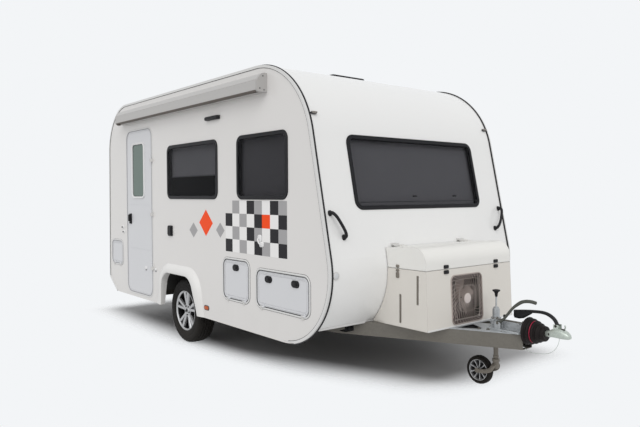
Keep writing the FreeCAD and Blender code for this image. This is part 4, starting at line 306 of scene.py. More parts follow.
class Shape:
    def __init__(self):
        self.points, self.faces, self.marks = [], [], []

    def add(self, points, faces, mark=0):
        first = len(self.points)
        self.points += [Vector(p) for p in points]
        self.faces += [tuple(first + i for i in face) for face in faces]
        self.marks += [mark] * len(faces)

    def loft(self, rings, mark=0, loop=True, capFirst=False, capLast=False, closeUp=False):
        count = len(rings[0])
        points = [p for ring in rings for p in ring]
        faces = []
        spans = len(rings) if closeUp else len(rings) - 1
        for r in range(spans):
            a, b = r * count, ((r + 1) % len(rings)) * count
            for i in range(count if loop else count - 1):
                j = (i + 1) % count
                faces.append((a + i, a + j, b + j, b + i))
        if capFirst:
            faces.append(tuple(reversed(range(count))))
        if capLast:
            faces.append(tuple((len(rings) - 1) * count + i for i in range(count)))
        self.add(points, faces, mark)

    def solid(self, rings, mark=0):
        self.loft(rings, mark, True, True, True)

    def make(self, name, body, slot, materials, sharp=38, bevel=0.0, replaced=None):
        mesh = bpy.data.meshes.new(name)
        mesh.from_pydata([p + axle for p in self.points], [], self.faces)
        mesh.validate()
        for key in [materials] if isinstance(materials, str) else materials:
            mesh.materials.append(finishes[key])
        if len(mesh.polygons) == len(self.marks):
            mesh.polygons.foreach_set("material_index", self.marks)
        thing = addThing(name, mesh)
        edit = bmesh.new()
        edit.from_mesh(mesh)
        bmesh.ops.recalc_face_normals(edit, faces=edit.faces)
        edit.to_mesh(mesh)
        edit.free()
        mesh.shade_smooth()
        mesh.set_sharp_from_angle(angle=math.radians(sharp))
        if bevel:
            rounding = thing.modifiers.new("Rounding", "BEVEL")
            rounding.width, rounding.segments = bevel, 2
            rounding.limit_method = "ANGLE"
            rounding.angle_limit = math.radians(35)
        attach(thing, body)
        if replaced:
            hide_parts(replaced)
        return thing


def roundedOutline(width, height, radius, steps=8):
    radius = max(min(radius, width / 2 - 1e-5, height / 2 - 1e-5), 1e-4)
    points = []
    for cx, cy, start in ((1, 1, 0), (-1, 1, 90), (-1, -1, 180), (1, -1, 270)):
        for i in range(steps + 1):
            angle = math.radians(start + 90 * i / steps)
            points.append((cx * (width / 2 - radius) + radius * math.cos(angle),
                           cy * (height / 2 - radius) + radius * math.sin(angle)))
    return points


# points along straight edges and arcs, anticlockwise, each with its outward direction
def roundedRun(corners, radii, closed=True, arcSteps=16, straightSteps=1):
    corners = [Vector(p) for p in corners]
    count = len(corners)
    stops = []
    for i, here in enumerate(corners):
        into = (here - corners[i - 1]).normalized()
        away = (corners[(i + 1) % count] - here).normalized()
        if not closed and i in (0, count - 1):
            way = away if i == 0 else into
            stops.append([(here, Vector((way.y, -way.x)))])
            continue
        bend = math.atan2(into.x * away.y - into.y * away.x, into.dot(away))
        start = Vector((into.y, -into.x))
        centre = here - into * (radii[i] * math.tan(bend / 2)) - start * radii[i]
        arc = []
        for k in range(arcSteps + 1):
            angle = bend * k / arcSteps
            way = Vector((start.x * math.cos(angle) - start.y * math.sin(angle),
                          start.x * math.sin(angle) + start.y * math.cos(angle)))
            arc.append((centre + way * radii[i], way))
        stops.append(arc)
    run = []
    for i, arc in enumerate(stops):
        run += arc
        if i == len(stops) - 1 and not closed:
            break
        following = stops[(i + 1) % len(stops)][0]
        for k in range(1, straightSteps):
            run.append((arc[-1][0].lerp(following[0], k / straightSteps), arc[-1][1]))
    return run


def onSide(side, x, z, half=bodyHalf):
    return lambda u, v, out: Vector((x + u, side * (half + out), z + v))


def onTop(x, y, z):
    return lambda u, v, out: Vector((x + u, y + v, z + out))


# straight part of the front, of the rear and of the storage box's front: foot, upward and outward
slopes = {"front": ((2.517, 0.342), (-0.2115, 0.9774)), "rear": ((-1.8892, 0.5), (0.0194, 0.9998)),
          "box": ((2.7923, 0.5), (-0.0497, 0.9988))}


def onSlope(which, y, z):
    (footX, footZ), (upX, upZ) = slopes[which]
    facing = -1 if which == "rear" else 1
    upWay = Vector((upX, 0, upZ))
    outWay = Vector((upZ, 0, -upX)) * facing
    start = Vector((footX, y, footZ)) + upWay * ((z - footZ) / upZ)
    return lambda u, v, out: start + Vector((0, u, 0)) + upWay * v + outWay * out


# rounded outlines one on the other: each station is how far it lies inside the first, and how far out
def outlines(where, width, height, radius, stations, steps):
    return [[where(u, v, out) for u, v in roundedOutline(width - 2 * inset, height - 2 * inset, radius - inset, steps)]
            for inset, out in stations]


def pillow(shape, where, width, height, radius, stations, mark=0, capFirst=True, steps=8):
    shape.loft(outlines(where, width, height, radius, stations, steps), mark, True, capFirst, True)


def hoop(shape, where, width, height, radius, section, mark=0, steps=8):
    shape.loft(outlines(where, width, height, radius, section, steps), mark, closeUp=True)


# points round a circle; square is below 1 for a circle with fuller corners
def roundAbout(count, square=1):
    spots = []
    for k in range(count):
        angle = 2 * math.pi * k / count
        spots.append([math.copysign(abs(part) ** square, part) for part in (math.cos(angle), math.sin(angle))])
    return spots


# a profile's second half mirrors its first
def bothWays(rows, middle=()):
    return [*rows, *middle, *((radius, -along) for radius, along in reversed(rows))]


def lathe(shape, profile, centre, direction, steps=48, mark=0, closeUp=False, capFirst=False, capLast=False,
          ripple=None):
    direction = Vector(direction).normalized()
    across = direction.cross(Vector((0, 0, 1)) if abs(direction.z) < 0.9 else Vector((1, 0, 0))).normalized()
    other = direction.cross(across)
    rings = []
    for row, (radius, along) in enumerate(profile):
        ring = []
        for i in range(steps):
            angle = 2 * math.pi * i / steps
            reach = max(radius, 0.0002) + (ripple(row, i) if ripple else 0)
            ring.append(Vector(centre) + direction * along
                        + (across * math.cos(angle) + other * math.sin(angle)) * reach)
        rings.append(ring)
    shape.loft(rings, mark, True, capFirst, capLast, closeUp)


def smoothPath(points, steps=6):
    points = [Vector(p) for p in points]
    path = []
    for i in range(len(points) - 1):
        a = points[max(i - 1, 0)]
        b, c = points[i], points[i + 1]
        d = points[min(i + 2, len(points) - 1)]
        for k in range(steps):
            t = k / steps
            path.append(0.5 * (2 * b + (c - a) * t + (2 * a - 5 * b + 4 * c - d) * t * t
                               + (3 * b - 3 * c + d - a) * t ** 3))
    path.append(points[-1])
    return path


def tube(shape, path, radius, sides=10, mark=0, flat=1.0, up=(0, 0, 1)):
    path = [Vector(p) for p in path]
    rings = []
    for i, p in enumerate(path):
        onward = (path[min(i + 1, len(path) - 1)] - path[max(i - 1, 0)]).normalized()
        sideways = onward.cross(Vector(up))
        if sideways.length < 1e-3:
            sideways = onward.cross(Vector((1, 0, 0)))
        sideways.normalize()
        over = sideways.cross(onward)
        size = radius(i / max(len(path) - 1, 1)) if callable(radius) else radius
        rings.append([p + sideways * (math.cos(2 * math.pi * k / sides) * size)
                      + over * (math.sin(2 * math.pi * k / sides) * size * flat) for k in range(sides)])
    shape.solid(rings, mark)


def block(shape, low, high, mark=0):
    (ax, ay, az), (bx, by, bz) = low, high
    shape.add([(ax, ay, az), (bx, ay, az), (bx, by, az), (ax, by, az),
               (ax, ay, bz), (bx, ay, bz), (bx, by, bz), (ax, by, bz)],
              [(0, 3, 2, 1), (4, 5, 6, 7), (0, 1, 5, 4), (1, 2, 6, 5), (2, 3, 7, 6), (3, 0, 4, 7)], mark)


def bolt(shape, spot, direction, size=0.008, rise=0.005, mark=0):
    washer, head = rise * 0.3, rise * 0.9
    lathe(shape, [(size * 1.5, 0), (size * 1.5, washer), (size, washer)], spot, direction, 18, mark, capFirst=True)
    lathe(shape, [(size, washer), (size, head), (size * 0.8, rise)], spot, direction, 6, mark, capLast=True)


# breakaway wire: from the end of the drawbar, in a low loop, up to the coupling
wire = {"diameter": 0.0032, "length": 0.345,
        "points": ((3.262, -0.03, 0.412), (3.272, -0.034, 0.404), (3.3, -0.04, 0.388), (3.345, -0.042, 0.381),
                   (3.4, -0.038, 0.386), (3.44, -0.032, 0.394), (3.48, -0.024, 0.412), (3.508, -0.014, 0.45),
                   (3.518, -0.006, 0.49), (3.519, -0.004, 0.508))}
curve = bpy.data.curves.new("breakawayWire", "CURVE")
curve.dimensions = "3D"
curve.bevel_depth = wire["diameter"] / 2
curve.bevel_resolution = 3
curve.resolution_u = 12
spline = curve.splines.new("NURBS")
spline.points.add(len(wire["points"]) - 1)
for point, spot in zip(spline.points, wire["points"]):
    point.co = (*(Vector(spot) + axle), 1.0)
spline.order_u = 3
spline.use_endpoint_u = True
curve.materials.append(finishes["zincPale"])
wireThing = addThing("breakawayWire", curve)
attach(wireThing, "caravan")
print("camera and breakaway wire done")

# road wheels: profiles are radius, and way out from the wheel's middle
sides = ((-1, "right"), (1, "left"))
tyre = {"radius": 0.3268, "treadHalf": 0.078, "shoulder": (0.3205, 0.007), "crownDrop": 0.0058,
        "grooves": (-0.045, -0.016, 0.016, 0.045), "grooveHalf": 0.0042, "grooveDepth": 0.008, "grooveSlope": 0.0012,
        "pitches": 70, "blocksFrom": 0.05, "blockCut": 0.0065, "ribCut": 0.003,
        "wall": ((0.1985, 0.079), (0.204, 0.0865), (0.211, 0.09), (0.218, 0.0925), (0.22, 0.0945),
                 (0.224, 0.095), (0.242, 0.0967), (0.26, 0.0968), (0.262, 0.0956), (0.266, 0.0955),
                 (0.268, 0.0963), (0.285, 0.0945), (0.3, 0.0905), (0.31, 0.085), (0.3165, 0.078))}


def tyreProfile():
    shoulder, inward = tyre["shoulder"]
    y = tyre["treadHalf"] - inward
    crown = [(shoulder, y)]
    marks = sorted([(g + s * tyre["grooveHalf"], s) for g in tyre["grooves"] for s in (-1, 1)], reverse=True)
    for edge, sign in marks:
        lift = tyre["radius"] - tyre["crownDrop"] * (abs(edge) / tyre["treadHalf"]) ** 2
        rows = [(lift, edge), (lift - tyre["grooveDepth"], edge - sign * tyre["grooveSlope"])]
        crown += rows if sign > 0 else reversed(rows)
    crown.append((shoulder, -y))
    return bothWays(tyre["wall"], crown)


def wheelMiddle(node):
    low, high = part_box(node)
    return (low + high) / 2 - axle


def roadTyre(side, word):
    profile = tyreProfile()

    def ripple(row, i):
        radius, along = profile[row]
        outer = abs(along) > tyre["blocksFrom"]
        cut = (i + (0 if outer else 2)) % 4 == 0
        if outer and cut and radius > 0.309:
            return -tyre["blockCut"]
        if not outer and cut and radius > tyre["radius"] - 0.005:
            return -tyre["ribCut"]
        return 0.0

    shape = Shape()
    lathe(shape, profile, wheelMiddle("tyre_" + word), (0, side, 0), tyre["pitches"] * 4, 0, True, ripple=ripple)
    shape.make("roadTyre_" + word, "wheel_" + word, "tyre", "tyreRubber", sharp=32, replaced="tyre_" + word)


rim = {"face": 0.08, "spokePairs": 5, "spokeTurn": (9, 11.5), "spokeHalf": (0.012, 0.003), "spokeThick": 0.026,
       "spokeBow": 0.012, "spokeSteps": ((0.0, 0.05), (0.25, 0.085), (0.5, 0.12), (0.75, 0.155), (1.0, 0.19)),
       "boltCircle": 0.047,
       "barrel": ((0.202, 0.0855), (0.199, 0.083), (0.193, 0.08), (0.188, 0.064), (0.183, 0.04),
                  (0.18, 0.0), (0.183, -0.05), (0.193, -0.078), (0.202, -0.085), (0.202, -0.08),
                  (0.196, -0.074), (0.186, -0.048), (0.183, 0.0), (0.186, 0.04), (0.193, 0.07),
                  (0.202, 0.08)),
       "well": ((0.0, 0.034), (0.06, 0.034), (0.078, 0.038), (0.084, 0.048), (0.07, 0.06), (0.035, 0.062),
                (0.0, 0.06)),
       "lip": ((0.2022, 0.086), (0.201, 0.0885), (0.1985, 0.089), (0.196, 0.087), (0.1905, 0.08),
               (0.186, 0.079), (0.1855, 0.075), (0.19, 0.074), (0.199, 0.08)),
       "hub": ((0.0, 0.071), (0.022, 0.071), (0.027, 0.0685), (0.029, 0.064), (0.034, 0.062), (0.05, 0.0655),
               (0.06, 0.067), (0.066, 0.063), (0.064, 0.05), (0.0, 0.05)),
       "nut": ((0.0, 0.073), (0.006, 0.073), (0.0075, 0.071), (0.0075, 0.06)),
       "cap": ((0.0, 0.074), (0.014, 0.074), (0.018, 0.0725), (0.019, 0.07))}


def roadRim(side, word):
    name, body, replaced = "roadRim_" + word, "wheel_" + word, "rim_" + word
    centre = wheelMiddle(replaced)
    out = Vector((0, side, 0))
    turns = Vector((1, 0, 0))
    rise = out.cross(turns)
    dark, bright, nuts = Shape(), Shape(), Shape()
    lathe(dark, rim["barrel"], centre, out, 96, 0, True)
    lathe(dark, rim["well"], centre, out)
    lathe(bright, rim["lip"], centre, out, 96, 0, True)
    for pair in range(rim["spokePairs"]):
        base = math.radians(90 + 360 / rim["spokePairs"] * pair)
        for arm in (-1, 1):
            inner, outer = (base + arm * math.radians(degrees) for degrees in rim["spokeTurn"])
            rings = []
            for part, radius in rim["spokeSteps"]:
                angle = inner + (outer - inner) * part
                radial = turns * math.cos(angle) + rise * math.sin(angle)
                across = -turns * math.sin(angle) + rise * math.cos(angle)
                half = rim["spokeHalf"][0] + rim["spokeHalf"][1] * part
                depth = rim["face"] - rim["spokeBow"] * (1 - part) ** 1.5
                rings.append([centre + radial * radius + across * half * wide + out * (depth - back)
                              for wide, back in ((1.25, rim["spokeThick"]), (1, 0.004), (0.78, 0), (-0.78, 0),
                                                 (-1, 0.004), (-1.25, rim["spokeThick"]))])
            bright.solid(rings)
        angle = math.radians(126 + 72 * pair)
        spot = centre + (turns * math.cos(angle) + rise * math.sin(angle)) * rim["boltCircle"]
        lathe(nuts, rim["nut"], spot, out, 6)
    lathe(bright, rim["hub"], centre, out)
    lathe(nuts, rim["cap"], centre, out, 32)
    dark.make(name + "_barrel", body, "alloy", "rimDark", replaced=replaced)
    bright.make(name, body, "alloy", "alloy", bevel=0.0015, replaced=replaced)
    nuts.make(name + "_nuts", body, "alloy", "rimDark", sharp=25, replaced=replaced)


for build in (roadTyre, roadRim):
    for side, word in sides:
        build(side, word)
print("road wheels done")

# the side view's outline, the thin dark bead that lies along it on each side, and a thinner dark line on the wall just
# inside it that is a painted shadow of the trim's flange
outline = {"corners": ((-1.65, 0.342), (2.517, 0.342), (2.036, 2.565), (-1.849, 2.565), (-1.889, 0.505)),
           "radii": (0.06, 0.572, 0.738, 0.54, 0.06)}
bead = {"frontRadius": 0.0085, "frontIn": 0.02, "flangeShadowRadius": 0.0032, "flangeShadowIn": 0.0185, "sides": 8}
outlineRun = roundedRun(outline["corners"], outline["radii"], arcSteps=30, straightSteps=6)
firstBead = min(i for i, (p, way) in enumerate(outlineRun) if way.x > 0.1)
lastBead = max(i for i, (p, way) in enumerate(outlineRun) if p.x < -1.8 and p.y > 0.5)
beadsAndFlangeShadow = Shape()
for side in (-1, 1):
    # first the dark bead on the trim, then the thin line on the wall: a painted shadow of the trim's flange
    for radius, y, out in ((bead["frontRadius"], side * (bodyHalf - bead["frontIn"]), 0.002),
                           (bead["flangeShadowRadius"], side * (bodyHalf + 0.001), -bead["flangeShadowIn"])):
        rings = []
        for spot, way in outlineRun[firstBead:lastBead]:
            rings.append([Vector((spot.x + way.x * (out + radius * math.sin(a)), y + radius * math.cos(a),
                                  spot.y + way.y * (out + radius * math.sin(a))))
                          for a in (2 * math.pi * k / bead["sides"] for k in range(bead["sides"]))])
        beadsAndFlangeShadow.solid(rings)
beadsAndFlangeShadow.make("edgeBeadAndFlangeShadow", "caravan", "trim", "beadDark")

# wheel arch flares: soft moulded bands that fade into the wall
flare = {"proud": 0.042, "footHalf": 0.52, "topHalf": 0.43, "top": 0.797, "corner": 0.27, "openFootHalf": 0.402,
         "openTopHalf": 0.312, "openTop": 0.704, "openCorner": 0.165, "skirt": 0.342, "footShare": 0.45,
         "fullAt": 0.62}
flareSection = ((0.0, 0.0), (0.06, 0.1), (0.16, 0.3), (0.3, 0.58), (0.46, 0.82), (0.62, 0.96), (0.76, 1.0),
                (0.88, 0.99), (0.96, 0.95), (1.0, 0.86), (1.0, 0.55), (1.0, 0.02))


def archRun(half, halfTop, top, corner):
    corners = ((half, flare["skirt"]), (halfTop, top), (-halfTop, top), (-half, flare["skirt"]))
    return [spot for spot, way in roundedRun(corners, (0, corner, corner, 0), False, 14, 8)]


outerRun = archRun(flare["footHalf"], flare["topHalf"], flare["top"], flare["corner"])
innerRun = archRun(flare["openFootHalf"], flare["openTopHalf"], flare["openTop"], flare["openCorner"])
for side, word in sides:
    shape = Shape()
    rings = []
    for share, rise in flareSection:
        ring = []
        for a, b in zip(outerRun, innerRun):
            spot = a.lerp(b, share)
            full = min(max((spot.y - flare["skirt"]) / (flare["fullAt"] - flare["skirt"]), 0), 1)
            full = flare["footShare"] + (1 - flare["footShare"]) * full * full * (3 - 2 * full)
            ring.append(Vector((spot.x, side * (bodyHalf + flare["proud"] * rise * full), spot.y)))
        rings.append(ring)
    rings.append([Vector((spot.x, side * (bodyHalf - 0.001), spot.y)) for spot in innerRun])
    shape.loft(rings, 0, False)
    for end in (0, -1):
        shape.add([ring[end] for ring in rings], [tuple(range(len(rings)))])
    shape.make("archFlare_" + word, "caravan", "trim", "flareWhite", sharp=50, replaced="wheel_arch_flares")
print("edge beads and arch flares done")

# windows: a rubber-black frame round each opening, blinds behind the panes, and behind each blind a near-black sheet
# that is painted shade for the caravan's dark inside
windows = {"rear": (-0.236, 0.799), "front": (1.13, 1.879), "low": 1.467, "high": 2.017, "corner": 0.075,
           "slopes": (("front", 0.77, 1.388, 1.973), ("rear", 0.52, 1.43, 1.96)),
           "section": ((0.0, 0.0003), (0.0, 0.004), (0.003, 0.0088), (0.014, 0.0094), (0.018, 0.008),
                       (0.0215, 0.0078), (0.024, 0.009), (0.03, 0.0092), (0.0318, 0.0084), (0.0318, -0.03),
                       (0.0146, -0.03), (0.0146, 0.0003))}
frames = Shape()
openings = []
for side in (-1, 1):
    for spot, label in (("rear", "middle"), ("front", "side")):
        left, right = windows[spot]
        openings.append((onSide(side, (left + right) / 2, (windows["low"] + windows["high"]) / 2), right - left,
                         windows["high"] - windows["low"], label))
for which, half, low, high in windows["slopes"]:
    openings.append((onSlope(which, 0, (low + high) / 2), 2 * half, (high - low) / slopes[which][1][1], which))
for where, width, height, label in openings:
    hoop(frames, where, width, height, windows["corner"], windows["section"], steps=10)
frames.make("windowFrames", "caravan", "window_frame", "windowFrame", replaced="window_frames")

blind = {"depth": -0.046, "pleat": 0.018, "fold": 0.005, "sideGap": 0.012, "endGap": 0.01, "rail": 0.012,
         "railBack": -0.004, "railFront": 0.01, "screen": ((0, -0.056), (0, -0.054)),
         "share": {"middle": 0.58, "side": 0.97, "front": 0.97, "rear": 0.97}}
for number, (where, width, height, label) in enumerate(openings):
    blinds = Shape()
    half = width / 2 - blind["sideGap"]
    top = height / 2 - blind["endGap"]
    drop = (height - 2 * blind["endGap"]) * blind["share"][label]
    count = int(drop / blind["pleat"])
    rows = []
    for k in range(count + 1):
        v = top - drop * k / count
        out = blind["depth"] + (blind["fold"] if k % 2 else 0)
        rows.append([where(u, v, out - back) for u, back in ((-half, 0), (half, 0), (half, 0.001), (-half, 0.001))])
    blinds.solid(rows)
    blinds.solid([[where(u, top - drop - low, blind["depth"] + out) for u, out in
                   ((-half, blind["railBack"]), (half, blind["railBack"]), (half, blind["railFront"]),
                    (-half, blind["railFront"]))] for low in (0, blind["rail"])], 1)
    # the near-black sheet behind the blind is painted shade for the dark inside of the caravan
    pillow(blinds, where, width - 0.02, height - 0.016, windows["corner"] - 0.01, blind["screen"], 2)
    blinds.make("blind_" + str(number), "caravan", "unit_case",
                ["blindGrey" if label in ("middle", "front") else "blindDark", "blindDark", "innerDark"])

# small latches and the lower bar of the front pane
fittings = Shape()
frontBar = onSlope("front", 0, 1.446)
hoop(fittings, frontBar, 1.45, 0.007, 0.003, [(0, 0.0062), (0, 0.009), (0.002, 0.0094), (0.002, 0.0062)], steps=3)
for y, z in ((-0.095, 1.49), (0.42, 1.49)):
    pillow(fittings, onSlope("front", y, z), 0.05, 0.014, 0.006, [(0, 0.006), (0, 0.01), (0.003, 0.013)])
fittings.make("frontPaneFittings", "caravan", "window_frame", "windowFrame")
print("windows done")

# the checkered patch and the diamonds: thin film on the wall
pattern = {"left": 0.932, "right": 1.863, "low": 1.005, "high": 1.458, "lift": 0.0006, "gap": 0.0004,
           "rows": (".gwkgwkg", "kwgwkowk", "wgwkgwkg", "kwgwkgwk"),
           "diamonds": ((0.5715, 1.246, 0.1295, 0.125, 3), (0.3245, 1.168, 0.0835, 0.073, 1),
                        (0.836, 1.188, 0.076, 0.069, 1)),
           "colours": {"filmWhite": (240, 239, 238), "filmGrey": (168, 167, 168), "filmBlack": (36, 35, 38),
                       "filmOrange": (250, 78, 18)}}
for key, colour in pattern["colours"].items():
    finishes[key] = finish(key, colour, rough=0.32, shade=0.03, size=3, grain=300, bump=0.02, shine=0.12)
wide = (pattern["right"] - pattern["left"]) / len(pattern["rows"][0])
tall = (pattern["high"] - pattern["low"]) / len(pattern["rows"])
for side, word in sides:
    shape = Shape()
    for row, line in enumerate(pattern["rows"]):
        for column, key in enumerate(line):
            if key == ".":
                continue
            spot = onSide(side, pattern["left"] + wide * (column + 0.5), pattern["high"] - tall * (row + 0.5))
            pillow(shape, spot, wide - pattern["gap"], tall - pattern["gap"], 0.0004,
                   [(0, 0.0), (0, pattern["lift"])], mark="wgko".index(key), capFirst=False, steps=1)
    for x, z, half, rise, mark in pattern["diamonds"]:
        corners = ((x - half, z), (x, z - rise), (x + half, z), (x, z + rise))
        shape.loft([[Vector((a, side * (bodyHalf + lift), b)) for a, b in corners]
                    for lift in (0.0, pattern["lift"])], mark, True, False, True)
    shape.make("wallPattern_" + word, "caravan", "wall_skin", list(pattern["colours"]))
print("patterns done")

# locker hatches, service hatch and door: rims, gaskets, raised beads, locks; round each hatch rim a thin dark line is a
# painted shadow
hatches = {"middle": ((0.897, 0.591, 1.306, 0.931), ((1.1015, 0.869),)),
           "front": ((1.437, 0.589, 2.135, 0.881), ((1.6045, 0.819), (1.9675, 0.819))),
           "service": ((-1.79, 0.69, -1.467, 0.955), ())}
hatchCorner = 0.055
rimSection = [(0.0, 0.0003), (0.0, 0.003), (0.004, 0.0062), (0.01, 0.0066), (0.0145, 0.004), (0.0145, 0.0003)]
# a thin dark ring just outside each hatch rim: painted shadow of the rim
rimShadowSection = [(0.0, 0.0002), (0.0, 0.0016), (0.0022, 0.0016), (0.0022, 0.0002)]
gasketSection = [(0.0, -0.002), (0.0, 0.0038), (0.003, 0.0048), (0.006, 0.0038), (0.006, -0.002)]
beadSection = [(0.0, 0.0002), (0.0015, 0.0022), (0.005, 0.0032), (0.0085, 0.0022), (0.01, 0.0002)]
lineSection = [(0.0, 0.0002), (0.001, 0.0012), (0.004, 0.0012), (0.005, 0.0002)]


# hoops round an opening, each: how much wider, how much rounder, section, number of its finish
def hoops(shape, where, width, height, corner, rows):
    for grow, bend, section, mark in rows:
        hoop(shape, where, width + grow, height + grow, corner + bend, section, mark)


for word, ((left, low, right, high), locks) in hatches.items():
    where = onSide(-1, (left + right) / 2, (low + high) / 2)
    width, height = right - left, high - low
    shape = Shape()
    # the last hoop is the thin dark line outside the rim: a painted shadow
    hoops(shape, where, width, height, hatchCorner, ((0.042, 0.021, rimSection, 0), (0.012, 0.006, gasketSection, 1),
                                                     (0.0475, 0.024, rimShadowSection, 1)))
    shape.make("hatchRim_" + word, "caravan", "trim", ["trimPale", "gasketSoft" if word == "service" else "gasket"])
    leaf = Shape()
    hoops(leaf, where, width, height, hatchCorner, ((-0.014, -0.007, beadSection, 0), (-0.046, -0.02, lineSection, 0)))
    for x, z in locks:
        spot = onSide(-1, x, z)
        pillow(leaf, spot, 0.098, 0.056, 0.028, [(0, 0), (0, 0.0055), (0.003, 0.0085), (0.008, 0.0092)], 1, steps=10)
        pillow(leaf, spot, 0.05, 0.026, 0.013, [(0, 0.009), (0, 0.0118), (0.002, 0.013)], 1)
    leaf.make("hatchBead_" + word, word + "_hatch_leaf", "door_skin", ["leafSkin", "handleBlack"])

door = {"left": -1.305, "right": -0.626, "low": 0.398, "high": 2.235, "corner": 0.095,
        "pane": (-1.1377, 1.4873, -0.8253, 2.0867), "lines": (0.9, 1.4), "lineIn": 0.03,
        "rim": ((0.0, 0.0003), (0.0, 0.002), (0.004, 0.0046), (0.011, 0.0048), (0.0155, 0.0028), (0.0155, 0.0003)),
        "paneRim": ((0.0, 0.0086), (0.002, 0.0122), (0.008, 0.0134), (0.013, 0.0118), (0.0155, 0.008)),
        "paneSeal": ((0.0, -0.0058), (0.0, 0.0012), (0.004, 0.002), (0.006, 0.0008), (0.006, -0.0058))}
doorMiddle = onSide(-1, (door["left"] + door["right"]) / 2, (door["low"] + door["high"]) / 2)
doorWide, doorTall = door["right"] - door["left"], door["high"] - door["low"]
shape = Shape()
hoops(shape, doorMiddle, doorWide, doorTall, door["corner"], ((0.044, 0.022, door["rim"], 0),
                                                              (0.0115, 0.006, gasketSection, 1)))
shape.make("doorRim", "caravan", "trim", ["trimPale", "gasketSoft"])
leaf = Shape()
hoops(leaf, doorMiddle, doorWide, doorTall, door["corner"], ((-0.02, -0.01, beadSection, 0),))
left, low, right, high = door["pane"]
hoops(leaf, onSide(-1, (left + right) / 2, (low + high) / 2), right - left, high - low, 0.05,
      ((0.03, 0.01, door["paneRim"], 1), (-0.012, -0.01, door["paneSeal"], 2)))
for z in door["lines"]:
    block(leaf, (door["left"] + door["lineIn"], -bodyHalf - 0.001, z),
          (door["right"] - door["lineIn"], -bodyHalf, z + 0.0016))
leaf.make("doorTrim", "door", "door_skin", ["leafSkin", "paleFrame", "gasket"])

# small fittings on the right wall: body, slot, finishes, node that it replaces, and pads,
# each pad: x, z, width, height, corner, stations, number of its finish
wallPieces = {
    "doorHandle": ("door", "handle_plastic", ["handleBlack"], "door_handle", (
        (-1.207, 1.237, 0.052, 0.118, 0.012, ((0, 0), (0, 0.01), (0.003, 0.014), (0.008, 0.015)), 0),
        (-1.203, 1.247, 0.032, 0.078, 0.01, ((0, 0.014), (0, 0.028), (0.003, 0.033), (0.008, 0.035)), 0),
        (-1.207, 1.192, 0.016, 0.016, 0.008, ((0, 0.014), (0, 0.0175), (0.002, 0.019)), 0))),
    "doorCatch": ("door", "hinge_plastic", ["paleFrame", "gasketSoft"], None, (
        (-0.792, 0.7, 0.04, 0.03, 0.008, ((0, 0), (0, 0.008), (0.004, 0.012)), 0),
        (-0.792, 0.678, 0.026, 0.014, 0.005, ((0, 0), (0, 0.006), (0.003, 0.008)), 1))),
    "wallCatch": ("caravan", "hinge_plastic", ["paleFrame", "gasketSoft"], None, (
        (-0.545, 0.706, 0.04, 0.026, 0.008, ((0, 0), (0, 0.008), (0.004, 0.011)), 0),
        (-0.545, 0.686, 0.03, 0.014, 0.005, ((0, 0), (0, 0.006), (0.003, 0.008)), 1))),
    "wallSocket": ("caravan", "handle_plastic", ["handleBlack", "hingeGrey"], None, (
        (-0.172, 1.14, 0.09, 0.108, 0.012, ((0, 0), (0, 0.012), (0.003, 0.016), (0.01, 0.017)), 0),
        (-0.172, 1.14, 0.072, 0.082, 0.008, ((0, 0.016), (0, 0.021), (0.003, 0.0235)), 0),
        (-0.104, 1.142, 0.016, 0.034, 0.006, ((0, 0), (0, 0.005), (0.002, 0.007)), 1))),
}
for name, (body, slot, materials, replaced, pads) in wallPieces.items():
    shape = Shape()
    for x, z, width, height, radius, stations, mark in pads:
        pillow(shape, onSide(-1, x, z), width, height, radius, stations, mark)
    shape.make(name, body, slot, materials, replaced=replaced)

# two pale buttons on the wall; the grey peg a little below the middle of each is a painted shadow
buttons = {"spots": ((-1.441, 1.132), (-1.416, 1.076)),
           "foot": ((0.02, 0.0), (0.02, 0.004), (0.016, 0.008), (0.01, 0.009)),
           "shadowPeg": ((0.007, 0.008), (0.007, 0.02), (0.004, 0.023))}
shape = Shape()
for x, z in buttons["spots"]:
    lathe(shape, buttons["foot"], (x, -bodyHalf, z), (0, -1, 0), 24, capLast=True)
    lathe(shape, buttons["shadowPeg"], (x, -bodyHalf, z - 0.002), (0, -1, 0), 16, 1, capLast=True)
shape.make("wallButtons", "caravan", "hinge_plastic", ["paleFrame", "gasket"])

wallHook = {"pads": ((1.484, 1.146, 0.052, 0.062, 0.018), (1.512, 1.098, 0.058, 0.046, 0.016)),
            "stations": ((0, 0), (0, 0.006), (0.004, 0.011), (0.01, 0.013)), "wire": 0.006,
            "path": ((1.478, 0.012, 1.15), (1.486, 0.026, 1.136), (1.506, 0.026, 1.108), (1.514, 0.012, 1.096))}
shape = Shape()
for x, z, width, height, radius in wallHook["pads"]:
    pillow(shape, onSide(-1, x, z), width, height, radius, wallHook["stations"])
tube(shape, smoothPath([(x, -bodyHalf - out, z) for x, out, z in wallHook["path"]]), wallHook["wire"])
shape.make("wallHook", "caravan", "hinge_plastic", "paleFrame")
print("door, hatches and wall fittings done")

